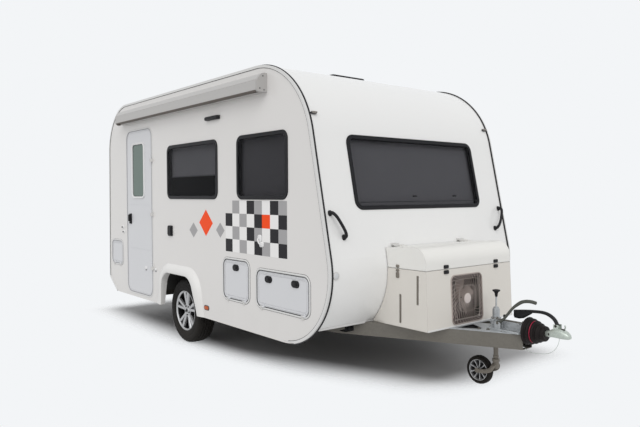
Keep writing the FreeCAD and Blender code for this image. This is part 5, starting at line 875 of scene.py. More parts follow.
# lamps: on both sides, on the front's upper corners, over the door, and at the rear
lamps = {"side": (0.572, 0.443), "upper": (1.046, 2.121), "porch": (0.609, 0.848, 2.194, 2.228), "porchEnd": 0.012,
         "sideFoot": ((0, 0), (0, 0.0035), (0.003, 0.0048)),
         "sideLens": ((0, 0.0045), (0.0015, 0.0072), (0.006, 0.0088)),
         "upperFoot": ((0, -0.012), (0, 0), (0.003, 0.003)),
         "upperLens": ((0, 0.002), (0.001, 0.01), (0.003, 0.015), (0.007, 0.017))}
shape = Shape()
for side in (-1, 1):
    spot = onSide(side, *lamps["side"])
    pillow(shape, spot, 0.096, 0.046, 0.023, lamps["sideFoot"], 1, steps=10)
    pillow(shape, spot, 0.078, 0.034, 0.017, lamps["sideLens"], steps=10)
    spot = onSlope("front", side * lamps["upper"][0], lamps["upper"][1])
    pillow(shape, spot, 0.054, 0.02, 0.009, lamps["upperFoot"], 1)
    pillow(shape, spot, 0.046, 0.016, 0.0075, lamps["upperLens"], 2)
left, right, low, high = lamps["porch"]
rows = []
for x in (left, left + lamps["porchEnd"], right - lamps["porchEnd"], right):
    pinch = 0.01 if x in (left, right) else 0.0
    rows.append([Vector((x, -bodyHalf - out, z)) for out, z in
                 ((0.0, high), (0.024, high - pinch * 0.4), (0.036 - pinch, high - 0.01), (0.034 - pinch, low + 0.006),
                  (0.024, low), (0.0, low))])
shape.solid(rows, 3)
shape.make("markerLamps", "caravan", "marker_lens", ["lensAmber", "gasket", "lensSmoke", "beadDark"],
           replaced="marker_lamps")
rear = {"y": 0.895, "half": 0.062, "low": 0.735, "high": 0.985, "base": ((0, 0), (0, 0.006), (0.002, 0.008)),
        "lens": ((0, 0.007), (0, 0.0115), (0.003, 0.0138)), "lensTall": 0.076}
shape = Shape()
rearTall = rear["high"] - rear["low"]
for side in (-1, 1):
    middle = onSlope("rear", side * rear["y"], (rear["low"] + rear["high"]) / 2)
    pillow(shape, middle, 2 * rear["half"], rearTall, 0.016, rear["base"], 3)
    for part, mark in ((0, 2), (1, 0), (2, 1)):
        z = rear["low"] + rearTall * (part + 0.5) / 3
        pillow(shape, onSlope("rear", side * rear["y"], z), 2 * rear["half"] - 0.012, rear["lensTall"], 0.01,
               rear["lens"], mark)
shape.make("rearLamps", "caravan", "lamp_lens", ["lensRed", "lensAmber", "lensClear", "gasket"],
           replaced="rear_lamps")
print("lamps done")

# awning case: lower lip, ridges along it (way out and height), screws, and the eye for its crank
awning = {"left": -1.374, "right": 1.574, "screws": ((0.03, 2.35), (0.07, 2.36), (0.04, 2.46)),
          "eye": (1.545, 2.35), "eyeOut": 0.08, "eyeRadius": 0.018, "eyeWire": 0.006, "stop": (-1.372, -1.33),
          "ridges": ((((0.06, 2.3322), (0.096, 2.3322), (0.0976, 2.338), (0.0976, 2.354), (0.095, 2.358),
                       (0.06, 2.34)), 1),
                     (((0.094, 2.418), (0.0978, 2.423), (0.0978, 2.43), (0.09, 2.435)), 0),
                     (((0.095, 2.374), (0.0978, 2.3752), (0.0978, 2.379), (0.095, 2.38)), 1),
                     (((0.0, 2.484), (0.018, 2.4856), (0.018, 2.4905), (0.0, 2.496)), 0))}
shape = Shape()
for section, mark in awning["ridges"]:
    shape.solid([[Vector((x, -bodyHalf - out, z)) for out, z in section] for x in (awning["left"], awning["right"])],
                mark)
for x, facing in ((-1.3995, -1), (1.5995, 1)):
    for out, z in awning["screws"]:
        bolt(shape, (x, -bodyHalf - out, z), (facing, 0, 0), 0.004, 0.003, 2)
eyeX, eyeZ = awning["eye"]
ring = [(eyeX + awning["eyeRadius"] * c, -bodyHalf - awning["eyeOut"], eyeZ + awning["eyeRadius"] * s)
        for c, s in roundAbout(20)]
tube(shape, [*ring, ring[0]], awning["eyeWire"], 8, 1)
pillow(shape, onSide(-1, eyeX, eyeZ), 0.024, 0.024, 0.011, [(0, 0.083), (0, 0.089), (0.003, 0.093)], 3)
block(shape, (awning["stop"][0], -bodyHalf - 0.09, 2.322), (awning["stop"][1], -bodyHalf - 0.06, 2.3335), 1)
shape.make("awningDetails", "caravan", "awning_metal", ["awningMetal", "awningLip", "gasket", "paleFrame"])
print("awning done")

# grab handles: bowed bars on oval feet; the bow is its share of the way down, and way out
grab = {"high": (1.035, 1.37), "low": (0.933, 1.19), "bar": 0.0128,
        "bow": ((0.0, 0.0), (0.0, 0.02), (0.05, 0.038), (0.2, 0.052), (0.5, 0.056), (0.8, 0.052), (0.95, 0.038),
                (1.0, 0.02), (1.0, 0.0)),
        "foot": ((0, 0), (0, 0.008), (0.004, 0.014), (0.009, 0.016))}
(yHigh, zHigh), (yLow, zLow) = grab["high"], grab["low"]
for side, word in sides:
    shape = Shape()
    path = [onSlope("front", side * (yHigh + (yLow - yHigh) * part), zHigh + (zLow - zHigh) * part)(0, 0, out)
            for part, out in grab["bow"]]
    tube(shape, smoothPath(path, 5), lambda t: grab["bar"] * (1.25 - 0.35 * math.sin(math.pi * t)), 12,
         up=(0.9774, 0, 0.2115))
    for y, z in (grab["high"], grab["low"]):
        pillow(shape, onSlope("front", side * y, z), 0.034, 0.044, 0.017, grab["foot"])
    shape.make("grabHandle_" + word, "caravan", "grip", "gripBlack", replaced="grab_handles")

# the front's small things: reflectors, sill rail and the hooks below it
front = {"reflector": (2.378, 1.049, 0.919), "sill": (2.203, 0.5), "sillHalf": 1.07,
         "reflectorRim": ((0.03, -0.004), (0.03, 0.006), (0.027, 0.009), (0.024, 0.0092)),
         "reflectorLens": ((0.022, 0.009), (0.02, 0.0108), (0.012, 0.012)),
         "sillSection": ((-0.03, -0.01), (0.003, -0.01), (0.006, -0.006), (0.01, 0.006), (0.004, 0.006),
                         (-0.002, -0.004), (-0.03, -0.004))}
shape = Shape()
for side in (-1, 1):
    x, y, z = front["reflector"]
    lathe(shape, front["reflectorRim"], (x, side * y, z), (1, 0, 0), 32, capLast=True)
    lathe(shape, front["reflectorLens"], (x, side * y, z), (1, 0, 0), 32, 1, capLast=True)
shape.make("frontReflectors", "caravan", "lamp_lens", ["hingeGrey", "lensClear"])
shape = Shape()
sillX, sillZ = front["sill"]
shape.solid([[Vector((sillX + x, y, sillZ + z)) for x, z in front["sillSection"]]
             for y in (-front["sillHalf"], front["sillHalf"])])
shape.make("sillRail", "caravan", "trim", "trimPale")

# hooks and hose ends under the sill: each path is x, way from its middle, z
hooks = {"plain": (-0.744, 0.744), "curled": (-0.48, 0.48), "wire": 0.006, "hose": 0.01,
         "wirePath": ((2.182, -0.02, 0.478), (2.2, -0.02, 0.47), (2.206, 0, 0.452), (2.2, 0.02, 0.47),
                      (2.182, 0.02, 0.478)),
         "hosePath": ((2.14, -0.09, 0.486), (2.172, -0.07, 0.462), (2.18, -0.01, 0.452), (2.176, 0.04, 0.432),
                      (2.16, 0.05, 0.402))}
shape = Shape()
for y in hooks["plain"]:
    block(shape, (2.12, y - 0.045, 0.44), (2.185, y + 0.045, 0.446))
    block(shape, (2.178, y - 0.045, 0.44), (2.185, y + 0.045, 0.49))
    tube(shape, smoothPath([(x, y + way, z) for x, way, z in hooks["wirePath"]]), hooks["wire"])
for y in hooks["curled"]:
    tube(shape, smoothPath([(x, y + way, z) for x, way, z in hooks["hosePath"]]), hooks["hose"], 10, 1)
    block(shape, (2.12, y - 0.03, 0.452), (2.182, y + 0.012, 0.486))
shape.make("sillHooks", "caravan", "galvanised", ["rimDark", "legBrown"], bevel=0.002)
print("front fittings done")

# storage box: latches, hinge strips and soft rim
box = {"half": 0.525, "latches": (-0.3, 0.32), "sideLatch": 2.492, "sideLatches": ((0.872, 0.915), (0.92, 0.939)),
       "lidLatch": (0.95, 0.972), "strips": ((2.689, 0.69, 0.905), (2.516, 0.532, 0.75)), "stripHalf": 0.0065,
       "latch": ((0, -0.001), (0, 0.007), (0.003, 0.0115), (0.01, 0.0125)),
       "latchKnob": ((0, 0.011), (0, 0.0145), (0.003, 0.0165)),
       "latchSide": ((0, -0.001), (0, 0.006), (0.003, 0.0095), (0.008, 0.0105)),
       "rim": ((-0.0035, -0.003), (-0.0035, 0.003), (0.003, 0.0045), (0.009, 0.003), (0.01, -0.003)), "rimZ": 0.504}
shape, lidLatch = Shape(), Shape()
for y in box["latches"]:
    pillow(shape, onSlope("box", y, 0.9235), 0.052, 0.028, 0.006, box["latch"])
    pillow(lidLatch, onSlope("box", y, 0.9635), 0.052, 0.026, 0.006, box["latch"])
    pillow(shape, onSlope("box", y, 0.925), 0.03, 0.016, 0.005, box["latchKnob"])
for side in (-1, 1):
    for group, (low, high) in (*((shape, ends) for ends in box["sideLatches"]), (lidLatch, box["lidLatch"])):
        pillow(group, onSide(side, box["sideLatch"], (low + high) / 2, box["half"]), 0.03, high - low, 0.006,
               box["latchSide"], 1)
    for x, low, high in box["strips"]:
        y = side * (box["half"] + 0.0006)
        block(shape, (x - box["stripHalf"], y - 0.0006, low), (x + box["stripHalf"], y + 0.0006, high), 1)
shape.make("boxLatches", "caravan", "grip", ["gripBlack", "legBrown"])
lidLatch.make("lidLatches", "box_lid", "grip", ["gripBlack", "legBrown"])
shape = Shape()
shape.solid([[onSlope("box", y, box["rimZ"])(0, v, out) for v, out in box["rim"]] for y in (-box["half"], box["half"])])
shape.make("boxFootRim", "caravan", "box_skin", "bumperWhite")

# fan guard: a rim, wires that sweep out from the hub, and two rings that are nearly square
guard = {"y": -0.059, "z": 0.703, "half": 0.192, "rise": 0.19, "corner": 0.046, "band": 0.009, "hub": 0.04,
         "wires": 38, "wire": 0.0019, "sweep": 0.8, "rings": (0.42, 0.78), "squareness": 7, "bow": 0.002,
         "wireOut": 0.0046, "ringOut": 0.0034,
         "rim": ((0.0, -0.002), (0.0, 0.004), (0.002, 0.0072), (0.006, 0.0076), (0.009, 0.006), (0.009, -0.002)),
         "frame": ((0.0, 0.0004), (0.0, 0.0016), (0.026, 0.0016), (0.026, -0.004), (0.024, -0.004), (0.024, 0.0004))}
guardWide, guardTall = 2 * guard["half"], 2 * guard["rise"]
shape = Shape()
guardAt = onSlope("box", guard["y"], guard["z"])
hoop(shape, guardAt, guardWide, guardTall, guard["corner"], guard["rim"])


def guardPoint(angle, start, share, out):
    reachX, reachZ = guard["half"] - guard["band"] + 0.002, guard["rise"] - guard["band"] + 0.002
    c, s = math.cos(angle), math.sin(angle)
    power = guard["squareness"]
    edge = ((abs(c) / reachX) ** power + (abs(s) / reachZ) ** power) ** (-1 / power)
    radius = start + (edge - start) * share
    return guardAt(radius * c, radius * s, out + guard["bow"] * math.sin(math.pi * share))


for k in range(guard["wires"]):
    base = 2 * math.pi * k / guard["wires"]
    path = [guardPoint(base + guard["sweep"] * j / 8, guard["hub"] * 0.9, j / 8, guard["wireOut"]) for j in range(9)]
    tube(shape, path, guard["wire"], 5, up=(1, 0, 0))
for share in guard["rings"]:
    path = [guardPoint(2 * math.pi * k / 48, guard["hub"], share, guard["ringOut"]) for k in range(49)]
    tube(shape, path, guard["wire"], 5, up=(1, 0, 0))
hoop(shape, guardAt, guardWide - 0.014, guardTall - 0.014, guard["corner"] - 0.007, guard["frame"], 2)
lathe(shape, [(guard["hub"], 0), (guard["hub"], 0.005), (guard["hub"] * 0.92, 0.0085), (guard["hub"] * 0.5, 0.0105)],
      guardAt(0, 0, 0), guardAt(0, 0, 1) - guardAt(0, 0, 0), 36, 1, capLast=True)
shape.make("fanGuard", "caravan", "grille", ["grillePale", "grilleHub", "unitCase"], replaced="fan_grille")
print("storage box done")

# drawbar: plate with its openings, a dark sheet under it that is painted shade seen through the openings, bolts, ledges
# and rod
drawbar = {"plateRear": 2.8, "plateFront": 3.269, "rearHalf": 0.2942, "frontHalf": 0.06, "low": 0.5002,
           "high": 0.506, "gapRear": 2.815, "gapFront": 2.96, "edge": 0.045, "rib": (0.0312, 0.104),
           "shadeSheet": ((2.7, -0.33), (2.98, -0.185), (2.98, 0.082), (2.7, 0.082)), "shadeSheetZ": (0.49, 0.492),
           "bolts": ((2.96, 0.15), (3.02, 0.12), (2.96, -0.15), (3.02, -0.12), (3.12, -0.088),
                     (3.2, -0.066), (3.12, 0.078), (3.2, 0.062)),
           "ledges": ((-0.1, -0.0895), (0.0535, 0.064)), "rodY": -0.018, "rodZ": 0.574, "straps": (3.01, 3.228)}


def plateHalf(x):
    share = (x - drawbar["plateRear"]) / (drawbar["plateFront"] - drawbar["plateRear"])
    return drawbar["rearHalf"] + (drawbar["frontHalf"] - drawbar["rearHalf"]) * share


def slab(shape, corners, heights=(drawbar["low"], drawbar["high"]), mark=0):
    shape.solid([[Vector((x, y, z)) for x, y in corners] for z in heights], mark)


plate = Shape()
gapRear, gapFront = drawbar["gapRear"], drawbar["gapFront"]
for first, last in ((gapFront, drawbar["plateFront"]), (drawbar["plateRear"], gapRear)):
    slab(plate, ((first, -plateHalf(first)), (last, -plateHalf(last)), (last, plateHalf(last)),
                 (first, plateHalf(first))))
for side in (-1, 1):
    slab(plate, ((gapRear, side * (plateHalf(gapRear) - drawbar["edge"])), (gapRear, side * plateHalf(gapRear)),
                 (gapFront, side * plateHalf(gapFront)),
                 (gapFront, side * (plateHalf(gapFront) - drawbar["edge"] * 1.6))))
    slab(plate, ((gapRear, 0), (gapRear, side * drawbar["rib"][0]), (gapFront, side * drawbar["rib"][1]),
                 (gapFront, 0)))
# a near-black sheet under the plate's openings: painted shade
slab(plate, drawbar["shadeSheet"], drawbar["shadeSheetZ"], 1)
plate.make("drawbarPlate", "caravan", "galvanised", ["plateZinc", "rimDark"], bevel=0.0012, replaced="drawbar_plate")
shape = Shape()
for x, y in drawbar["bolts"]:
    bolt(shape, (x, y, drawbar["high"]), (0, 0, 1), 0.009, 0.01, 1)
for low, high in drawbar["ledges"]:
    block(shape, (2.99, low, 0.5062), (3.262, high, 0.52))
tube(shape, [(x, drawbar["rodY"], drawbar["rodZ"]) for x in (2.99, 3.25)], 0.006, 10, 1)
for x in drawbar["straps"]:
    block(shape, (x - 0.012, -0.06, 0.569), (x + 0.012, 0.024, 0.576))
    for y in (-0.045, 0.01):
        bolt(shape, (x, y, 0.576), (0, 0, 1), 0.006, 0.007, 1)
shape.make("drawbarBolts", "caravan", "galvanised", ["plateZinc", "galvanised"], bevel=0.0012)

# bellows: soft folds (x and radius), lightly dusted, a little more towards the bottom, with a thin red tie
bellows = {"axis": 0.524, "tieX": 3.329, "tieRadius": 0.0765, "tieWire": 0.0032,
           "rings": ((3.27, 0.06), (3.271, 0.09), (3.276, 0.0985), (3.285, 0.0985), (3.293, 0.086),
                     (3.3, 0.083), (3.308, 0.092), (3.318, 0.091), (3.325, 0.077), (3.332, 0.073),
                     (3.34, 0.082), (3.35, 0.08), (3.357, 0.064), (3.364, 0.062), (3.371, 0.069),
                     (3.38, 0.067), (3.387, 0.056), (3.393, 0.054), (3.4, 0.056), (3.412, 0.054),
                     (3.4195, 0.05), (3.42, 0.03))}
shape = Shape()
softRows = smoothPath([(x, r, 0) for x, r in bellows["rings"]], 3)
lathe(shape, [(p.y, p.x) for p in softRows], (0, 0, bellows["axis"]), (1, 0, 0), capFirst=True, capLast=True)
tie = [(bellows["tieX"], bellows["tieRadius"] * c, bellows["axis"] + bellows["tieRadius"] * s)
       for c, s in roundAbout(40)]
tube(shape, [*tie, tie[0]], bellows["tieWire"], 8, 1, up=(1, 0, 0))
shape.make("overrunBellows", "caravan", "bellows_rubber", ["bellowsRubber", "tieRed"], sharp=60,
           replaced="coupling_bellows")

# coupling head: a slender forged wedge (x, low, high, half width) with its lock and pin
coupling = {"rows": ((3.4206, 0.508, 0.55, 0.0215), (3.44, 0.509, 0.556, 0.0225), (3.465, 0.511, 0.568, 0.026),
                     (3.49, 0.512, 0.578, 0.031), (3.52, 0.512, 0.58, 0.035), (3.548, 0.512, 0.574, 0.036),
                     (3.572, 0.513, 0.562, 0.0325), (3.589, 0.515, 0.548, 0.025), (3.5975, 0.519, 0.536, 0.014)),
            "square": 0.62, "pin": (3.5, 0.596), "lock": ((3.548, 0.006, 0.572), (3.556, 0.006, 0.59),
                                                            (3.553, 0.006, 0.606))}


# a ring across x with full corners
def softRing(x, half, middle, rise, count, square):
    return [Vector((x, half * c, middle + rise * s)) for c, s in roundAbout(count, square)]


shape = Shape()
shape.solid([softRing(x, half, (low + high) / 2, (high - low) / 2, 28, coupling["square"])
             for x, low, high, half in coupling["rows"]])
pinX, pinZ = coupling["pin"]
for side in (-1, 1):
    block(shape, (3.482, side * 0.0215 - 0.002, 0.566), (3.52, side * 0.0215 + 0.002, 0.606))
    bolt(shape, (pinX, side * 0.024, pinZ), (0, side, 0), 0.006, 0.006, 1)
    bolt(shape, (3.45, side * 0.0225, 0.532), (0, side, 0), 0.006, 0.006, 1)
tube(shape, [(pinX, -0.026, pinZ), (pinX, 0.026, pinZ)], 0.004, 10, 1)
tube(shape, smoothPath(coupling["lock"]), 0.005, 8)
pillow(shape, onTop(3.54, 0, 0.573), 0.03, 0.02, 0.008, [(0, 0), (0, 0.004), (0.003, 0.007)], 1)
shape.make("couplingHead", "caravan", "coupling_metal", ["zincPale", "castIron"], sharp=45, replaced="coupling_head")

# coupling handle: a flat bowed arm (x, z), and a grip (x, z, half width, half height)
couplingHandle = {"path": ((3.164, 0.65), (3.208, 0.656), (3.26, 0.663), (3.32, 0.669), (3.38, 0.672),
                           (3.425, 0.666), (3.46, 0.65), (3.485, 0.628), (3.5, 0.6)),
                  "arm": 0.016, "flat": 0.7, "square": 0.7,
                  "grip": ((3.162, 0.63, 0.011, 0.016), (3.17, 0.629, 0.02, 0.026), (3.205, 0.63, 0.021, 0.029),
                           (3.24, 0.636, 0.02, 0.027), (3.264, 0.645, 0.019, 0.02), (3.3, 0.658, 0.014, 0.01))}
shape = Shape()
tube(shape, smoothPath([(x, 0, z) for x, z in couplingHandle["path"]], 5),
     lambda t: couplingHandle["arm"] + 0.001 * t, 12, flat=couplingHandle["flat"])
shape.solid([softRing(x, half, z, rise, 20, couplingHandle["square"]) for x, z, half, rise in couplingHandle["grip"]])
shape.make("couplingHandle", "coupling_lever", "grip", "gripBlack", sharp=50, replaced="coupling_handle")

lever = {"y": -0.072, "pin": (3.076, 0.56), "thin": 0.0098, "thicker": 0.0026, "gripFrom": 0.45,
         "path": ((3.072, 0.546), (3.09, 0.566), (3.131, 0.606), (3.165, 0.648), (3.196, 0.684), (3.228, 0.711),
                  (3.268, 0.737), (3.31, 0.748), (3.35, 0.749), (3.38, 0.744)), "tip": (3.384, 0.743),
         "cheeks": (-0.0885, -0.0575), "cheekZ": 0.537,
         "knob": ((0.002, -0.01), (0.01, -0.006), (0.012, 0.002), (0.008, 0.01), (0.002, 0.012))}
pinX, pinZ = lever["pin"]
shape = Shape()
tube(shape, smoothPath([(x, lever["y"], z) for x, z in lever["path"]], 5),
     lambda t: lever["thin"] + lever["thicker"] * max(0.0, min(1.0, (t - lever["gripFrom"]) * 6)), 14)
lathe(shape, [(0.017, -0.008), (0.017, 0.008)], (pinX, lever["y"], pinZ), (0, 1, 0), 24, capFirst=True, capLast=True)
lathe(shape, [(0.0122, -0.01), (0.011, -0.003), (0.005, 0.001)], (lever["tip"][0], lever["y"], lever["tip"][1]),
      (0.98, 0, -0.18), 16, capLast=True)
shape.make("handbrakeLever", "handbrake", "galvanised", "leverOlive", replaced="handbrake_lever")
shape = Shape()
for y in lever["cheeks"]:
    pillow(shape, onSide(1, pinX, lever["cheekZ"], y), 0.052, 0.062, 0.016, [(0, 0), (0, 0.004)])
bolt(shape, (pinX, lever["cheeks"][0], pinZ), (0, -1, 0), 0.007, 0.006, 1)
tube(shape, [(3.105, -0.048, 0.575), (3.112, -0.05, 0.604)], 0.004, 8, 1)
lathe(shape, lever["knob"], (3.113, -0.05, 0.612), (0, 0, 1), 20, 2)
shape.make("handbrakeBracket", "caravan", "galvanised", ["plateZinc", "galvanised", "gripBlack"], bevel=0.001)
print("drawbar and coupling done")

# jockey wheel: profiles are radius and height, or radius and way out from the wheel's middle
jockey = {"x": 2.918, "y": 0.125, "wheelX": 2.77, "wheelZ": 0.112, "cheek": 0.0415, "ribs": 9,
          "post": ((0.0265, 0.385), (0.0275, 0.388), (0.0275, 0.5), (0.0275, 0.612), (0.026, 0.62),
                   (0.0205, 0.6235), (0.0205, 0.632), (0.0085, 0.6345), (0.0062, 0.64), (0.0062, 0.722)),
          "clamp": ((0.03, 0.506), (0.0415, 0.506), (0.0415, 0.512), (0.036, 0.516), (0.036, 0.543), (0.0395, 0.546),
                    (0.0395, 0.552), (0.03, 0.552)),
          "knob": ((0.0085, 0.712), (0.01, 0.716), (0.0125, 0.736), (0.017, 0.748), (0.028, 0.7545),
                   (0.03, 0.759), (0.0285, 0.765), (0.018, 0.768), (0.006, 0.7665)),
          "leg": ((0.015, 0.222), (0.0185, 0.225), (0.0185, 0.496)),
          "collar": ((0.0185, 0.236), (0.0215, 0.238), (0.0215, 0.256), (0.0185, 0.258)),
          "neck": ((0.026, 0.23), (0.0285, 0.228), (0.0285, 0.208), (0.023, 0.204), (0.0225, 0.16),
                   (0.018, 0.152)),
          "tyre": ((0.082, 0.023), (0.085, 0.028), (0.091, 0.03), (0.099, 0.0298), (0.106, 0.027),
                   (0.1105, 0.019), (0.1119, 0.01), (0.1119, 0.004), (0.1095, 0.002)),
          "rim": ((0.082, 0.024), (0.0845, 0.0265), (0.0825, 0.0278), (0.079, 0.0265), (0.0755, 0.02)),
          "rimFloor": (0.0745, 0.0), "hub": ((0.01, 0.022), (0.022, 0.022), (0.024, 0.018)),
          "web": ((0.023, 0.004), (0.0755, 0.004)),
          "rib": ((0.023, 0.0055, 0.019), (0.048, 0.005, 0.017), (0.0765, 0.0085, 0.022))}
jockeyX, jockeyY = jockey["x"], jockey["y"]
postSpot = Vector((jockeyX, jockeyY, 0))
hubSpot = Vector((jockey["wheelX"], jockeyY, jockey["wheelZ"]))
shape = Shape()
lathe(shape, jockey["post"], postSpot, (0, 0, 1), 40, capFirst=True)
lathe(shape, jockey["clamp"], postSpot, (0, 0, 1), 40, 0, True)
lathe(shape, jockey["knob"], postSpot, (0, 0, 1), 32, 1, capFirst=True, capLast=True)
block(shape, (jockeyX - 0.014, jockeyY - 0.056, 0.514), (jockeyX + 0.014, jockeyY - 0.03, 0.545))
tube(shape, [(jockeyX, jockeyY - 0.064, 0.53), (jockeyX, jockeyY - 0.05, 0.53)], 0.005, 8)
tube(shape, [(jockeyX - 0.03, jockeyY - 0.064, 0.53), (jockeyX + 0.03, jockeyY - 0.064, 0.53)], 0.0045, 8)
shape.make("jockeyPost", "caravan", "galvanised", ["plateZinc", "gripBlack"], sharp=45, replaced="jockey_post")
shape = Shape()
lathe(shape, jockey["leg"], postSpot, (0, 0, 1), 32, capFirst=True, capLast=True)
lathe(shape, jockey["collar"], postSpot, (0, 0, 1), 32)
shape.make("jockeyLeg", "jockey_slider", "galvanised", "legBrown", replaced="jockey_leg")
shape = Shape()
lathe(shape, jockey["neck"], postSpot, (0, 0, 1), 32, capFirst=True, capLast=True)
for side in (-1, 1):
    y = jockeyY + side * jockey["cheek"]
    path = smoothPath([(jockeyX, jockeyY + side * 0.014, 0.196), (jockeyX - 0.004, y - side * 0.006, 0.172),
                       (jockeyX - 0.02, y, 0.144), (jockeyX - 0.06, y, 0.124), (jockeyX - 0.105, y, 0.114),
                       (jockey["wheelX"], y, 0.112)], 5)
    tube(shape, path, lambda t: 0.019 - 0.003 * t, 12, flat=0.3, up=(0, 1, 0))
    lathe(shape, [(0.019, -0.004), (0.019, 0.004), (0.012, 0.0055)], (jockey["wheelX"], y, jockey["wheelZ"]),
          (0, side, 0), 24, capFirst=True, capLast=True)
shape.make("jockeyFork", "jockey_caster", "galvanised", "legBrown", sharp=50, replaced="jockey_fork")
shape = Shape()
lathe(shape, bothWays(jockey["tyre"]), hubSpot, (0, 1, 0), 72, 0, True)
shape.make("jockeyTyre", "jockey_wheel", "tyre", "tyreRubber", replaced="jockey_tyre")
shape = Shape()
lathe(shape, bothWays(jockey["rim"], [jockey["rimFloor"]]), hubSpot, (0, 1, 0), 60, 0, True)
lathe(shape, bothWays(jockey["hub"]), hubSpot, (0, 1, 0), 32, 0, True)
lathe(shape, bothWays(jockey["web"]), hubSpot, (0, 1, 0), 48, 1, True)
for side in (-1, 1):
    for c, s in roundAbout(jockey["ribs"]):
        along, across = Vector((c, 0, s)), Vector((-s, 0, c))
        shape.solid([[hubSpot + along * r + across * h + Vector((0, side * d, 0)) for h, d in
                      ((-half, 0.004), (-half * 0.6, top), (half * 0.6, top), (half, 0.004))]
                     for r, half, top in jockey["rib"]])
shape.make("jockeyDisc", "jockey_wheel", "galvanised", ["alloy", "rimDark"], replaced="jockey_disc")
print("jockey wheel done")

# roof ventilator's ribs and visor (y, how much lower its ends are), and dark strips on the rear bumper that are painted
# shade in its grooves
roof = {"ribs": (0.93, 1.03, 1.13), "ribZ": 2.6265, "visorTop": 2.6285,
        "visor": ((-0.205, 0.012), (-0.185, 0.0), (0.185, 0.0), (0.205, 0.012))}
shape = Shape()
for x in roof["ribs"]:
    pillow(shape, onTop(x, 0, roof["ribZ"]), 0.018, 0.28, 0.008, [(0, 0), (0.003, 0.0024)])
shape.make("ventRibs", "vent_lid", "vent_plastic", "ventDark")
shape = Shape()
shape.solid([[Vector((x, y, z)) for x, z in
              ((1.291, 2.56), (1.291, roof["visorTop"] - pinch), (1.34, roof["visorTop"] - pinch),
               (1.366 - pinch, 2.618 - pinch), (1.376 - pinch, 2.556))] for y, pinch in roof["visor"]])
shape.make("ventVisor", "caravan", "vent_plastic", "windowFrame", bevel=0.003)
bumper = {"grooves": (0.53, 0.58), "half": 0.985,
          "section": ((-0.006, 0.0205), (0.0, 0.0212), (0.006, 0.0205), (0.0, 0.018))}
shape = Shape()
# dark strips where the bumper's grooves are: painted shade
for z in bumper["grooves"]:
    shape.solid([[onSlope("rear", y, z)(0, v, out) for v, out in bumper["section"]]
                 for y in (-bumper["half"], bumper["half"])])
shape.make("bumperGrooveShade", "caravan", "bumper_plastic", "gasket")
print("roof and rear done")

# the scene: world, floor, light; the floor is painted darker under the caravan, a painted shadow, and turns clear
# further out; each fade of this painted shadow and of the floor's clearness is middle, where it starts, where it ends
studio = {"sky": 0.6, "backdrop": (243, 245, 247), "floor": (252, 253, 254), "under": (170, 170, 171),
          "fadeLong": (0.1, 2.3, 2.85), "fadeWide": (0.25, 0.95, 1.55), "fadeSlant": (0.0, 0.85, 1.55),
          "slant": (0.365, -0.931, 0), "floorHalf": 40.0,
          "suns": (("KeyLight", 1.0, (-0.8, 0.35, -0.75), 40), ("SideLight", 0.55, (-0.2, 0.85, -0.55), 60))}
world = bpy.data.worlds.new("Studio")
bpy.context.scene.world = world
world.use_nodes = True
tree = world.node_tree
tree.nodes.clear()
path = addNode(tree, "LightPath")
seenOne = addNode(tree, "Math", {0: path.outputs["Is Camera Ray"], 1: path.outputs["Is Transmission Ray"]},
                  operation="MAXIMUM")
seen = addNode(tree, "Math", {0: seenOne.outputs[0], 1: path.outputs["Is Glossy Ray"]}, operation="MAXIMUM")
lit = addNode(tree, "Background", values={"Color": (1, 1, 1, 1), "Strength": studio["sky"]})
shown = addNode(tree, "Background", values={"Color": tone(*studio["backdrop"]), "Strength": 1.0})
blendSky = addNode(tree, "MixShader", {0: seen.outputs[0], 1: lit.outputs[0], 2: shown.outputs[0]})
skyOut = tree.nodes.new("ShaderNodeOutputWorld")
tree.links.new(blendSky.outputs[0], skyOut.inputs["Surface"])

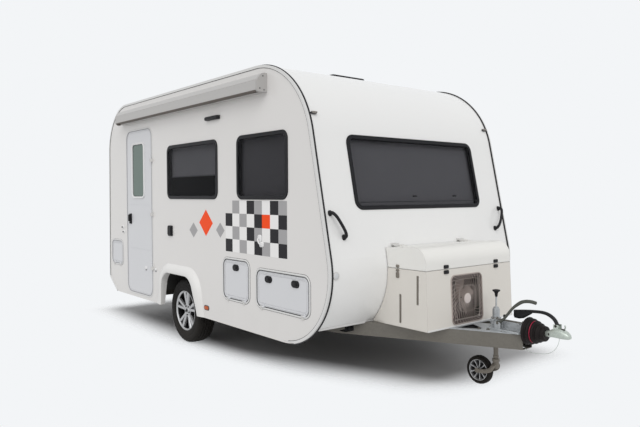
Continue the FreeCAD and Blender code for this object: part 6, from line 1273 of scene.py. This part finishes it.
floorMaterial, tree, shader = newMaterial("StudioFloor")
setInputs(shader, {"Roughness": 0.9, "Specular IOR Level": 0.1})
floorPlace = addNode(tree, "TexCoord")
floorShift = addNode(tree, "VectorMath", {0: floorPlace.outputs["Object"]}, {1: -axle}, operation="ADD")
floorAxes = addNode(tree, "SeparateXYZ", {0: floorShift.outputs[0]})
floorSlant = addNode(tree, "VectorMath", {0: floorShift.outputs[0]}, {1: studio["slant"]}, operation="DOT_PRODUCT")
paintedShadowAndAlpha = None
for source, middle, first, last in ((floorAxes.outputs["X"], *studio["fadeLong"]),
                                    (floorAxes.outputs["Y"], *studio["fadeWide"]),
                                    (floorSlant.outputs["Value"], *studio["fadeSlant"])):
    spread = addNode(tree, "Math", {0: source}, {1: middle}, operation="SUBTRACT")
    spread = addNode(tree, "Math", {0: spread.outputs[0]}, {1: 0.0}, operation="ABSOLUTE" if middle else "ADD")
    part = addNode(tree, "MapRange", {"Value": spread.outputs[0]},
                   {"From Min": first, "From Max": last, "To Min": 1.0, "To Max": 0.0},
                   interpolation_type="SMOOTHSTEP")
    if paintedShadowAndAlpha:
        part = addNode(tree, "Math", {0: paintedShadowAndAlpha.outputs[0], 1: part.outputs[0]}, operation="MULTIPLY")
    paintedShadowAndAlpha = part
# where the mask is high the floor takes the painted shadow tone; the same mask makes the floor clear further out
paintedShadowMix = addNode(tree, "Mix", {"Factor": paintedShadowAndAlpha.outputs[0]},
                   {6: tone(*studio["floor"]), 7: tone(*studio["under"])}, data_type="RGBA")
joinUp(tree, shader, {"Base Color": paintedShadowMix.outputs[2], "Alpha": paintedShadowAndAlpha.outputs[0]})
mesh = bpy.data.meshes.new("StudioFloor")
reach = studio["floorHalf"]
mesh.from_pydata([Vector((x, y, 0)) + axle for x, y in ((-reach, -reach), (reach, -reach), (reach, reach),
                                                        (-reach, reach))], [], [(0, 1, 2, 3)])
mesh.materials.append(floorMaterial)
floorThing = addThing("StudioFloor", mesh)

for name, strength, direction, angle in studio["suns"]:
    light = bpy.data.lights.new(name, "SUN")
    light.energy = strength
    light.angle = math.radians(angle)
    addThing(name, light).rotation_euler = Vector(direction).to_track_quat("-Z", "Y").to_euler()
bpy.context.scene.view_settings.view_transform = "Standard"
print("world, floor and light set")
